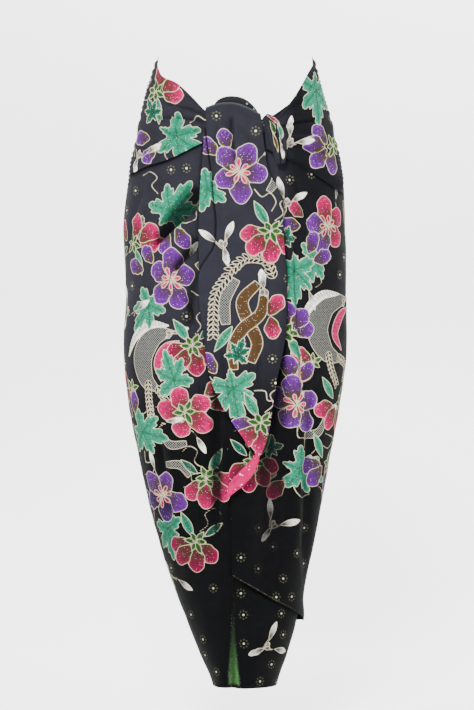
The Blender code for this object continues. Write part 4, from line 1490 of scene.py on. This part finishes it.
# Every stretch is cut from the one cloth. The rolls are part of the stretches they twist out of.
Held = namedtuple("Held", "name held rests_on rolls")


# ---- Camera, floor and light ---------------------------------------------------------------------
def area_light(name, at, aim, size, power):
    """A rectangular light at a place, turned to face another."""
    data = bpy.data.lights.new(name, "AREA")
    data.shape = "RECTANGLE"
    data.size, data.size_y = size
    data.energy = power
    lamp = bpy.data.objects.new(name, data)
    lamp.location = at
    direction = np.array(aim) - np.array(at)
    flat_run = np.hypot(direction[0], direction[1])
    tilt = np.arctan2(flat_run, -direction[2])
    heading = np.arctan2(direction[0], direction[1])
    lamp.rotation_euler = (float(tilt), 0.0, float(-heading))
    lamp.visible_camera = False
    bpy.context.scene.collection.objects.link(lamp)


FLOOR_Z, FLOOR_FRONT_Y, FLOOR_HALF = -1.075, -6.0, 5.0
BACK_WALL_Y, BACK_WALL_TOP, BACK_WALL_BEND = 1.9, 3.2, 0.8


def backdrop():
    """A pale floor that curves up into a wall behind: a strip of straight cells across."""
    way = np.linspace(0.0, np.pi / 2.0, 17)
    bend = BACK_WALL_BEND
    y = np.concatenate([[FLOOR_FRONT_Y], BACK_WALL_Y - bend + bend * np.sin(way), [BACK_WALL_Y]])
    z = np.concatenate([[FLOOR_Z], FLOOR_Z + bend - bend * np.cos(way), [BACK_WALL_TOP]])
    left = np.stack([np.full(len(y), -FLOOR_HALF), y, z], axis=1)
    right = np.stack([np.full(len(y), FLOOR_HALF), y, z], axis=1)
    points = np.concatenate([left, right])
    a = np.arange(len(y))
    quads = np.stack([a[:-1], a[:-1] + len(y), a[1:] + len(y), a[1:]], axis=-1)
    # Faces point at the object: up from the floor, and forwards from the wall.
    mesh = bpy.data.meshes.new("floor")
    mesh.from_pydata(points.tolist(), [], quads.tolist())
    mesh.shade_smooth()
    material = bpy.data.materials.new("studio_floor")
    material.use_nodes = True
    shader = material.node_tree.nodes["Principled BSDF"]
    shader.inputs["Base Color"].default_value = (0.92, 0.92, 0.92, 1.0)
    shader.inputs["Roughness"].default_value = 0.9
    # From behind, the backdrop lets the view through.
    n = Nodes(material.node_tree)
    seen = n.make("ShaderNodeMixShader")
    n.put(seen.inputs[0], n.make("ShaderNodeNewGeometry").outputs["Backfacing"])
    n.put(seen.inputs[1], shader.outputs[0])
    n.put(seen.inputs[2], n.make("ShaderNodeBsdfTransparent").outputs[0])
    n.put(material.node_tree.nodes["Material Output"].inputs["Surface"], seen.outputs[0])
    mesh.materials.append(material)
    obj = bpy.data.objects.new("floor", mesh)
    bpy.context.scene.collection.objects.link(obj)
    return obj


backdrop()
world = bpy.data.worlds.new("studio")
world.use_nodes = True
world.node_tree.nodes["Background"].inputs["Color"].default_value = (1.0, 1.0, 1.0, 1.0)
world.node_tree.nodes["Background"].inputs["Strength"].default_value = 0.30
bpy.context.scene.world = world
Lamp = namedtuple("Lamp", "name at aim size power")
LAMPS = (
    Lamp("front_light", (-0.5, -3.0, 1.5), (0.0, 0.0, -0.40), (0.9, 0.9), 330.0),
    Lamp("side_light", (2.6, -1.6, 0.4), (0.0, 0.0, -0.45), (0.8, 1.8), 30.0),
    Lamp("back_light", (1.1, 1.5, 1.3), (0.0, 0.0, -0.45), (0.9, 0.9), 60.0),
    Lamp("wall_light", (0.0, 0.9, 2.6), (0.0, 1.9, -0.6), (3.0, 0.8), 300.0),
)
for row in LAMPS:
    area_light(*row)

camera_data = bpy.data.cameras.new("camera")
camera_data.sensor_width = 36.0
camera_data.lens = 36.0 * CAMERA_AWAY / VIEW_HIGH
camera_data.clip_end = 50.0
camera = bpy.data.objects.new("camera", camera_data)
camera.location = (CAMERA_X, -CAMERA_AWAY, CAMERA_Z)
camera.rotation_euler = (float(np.pi / 2.0), 0.0, 0.0)
bpy.context.scene.collection.objects.link(camera)
bpy.context.scene.camera = camera
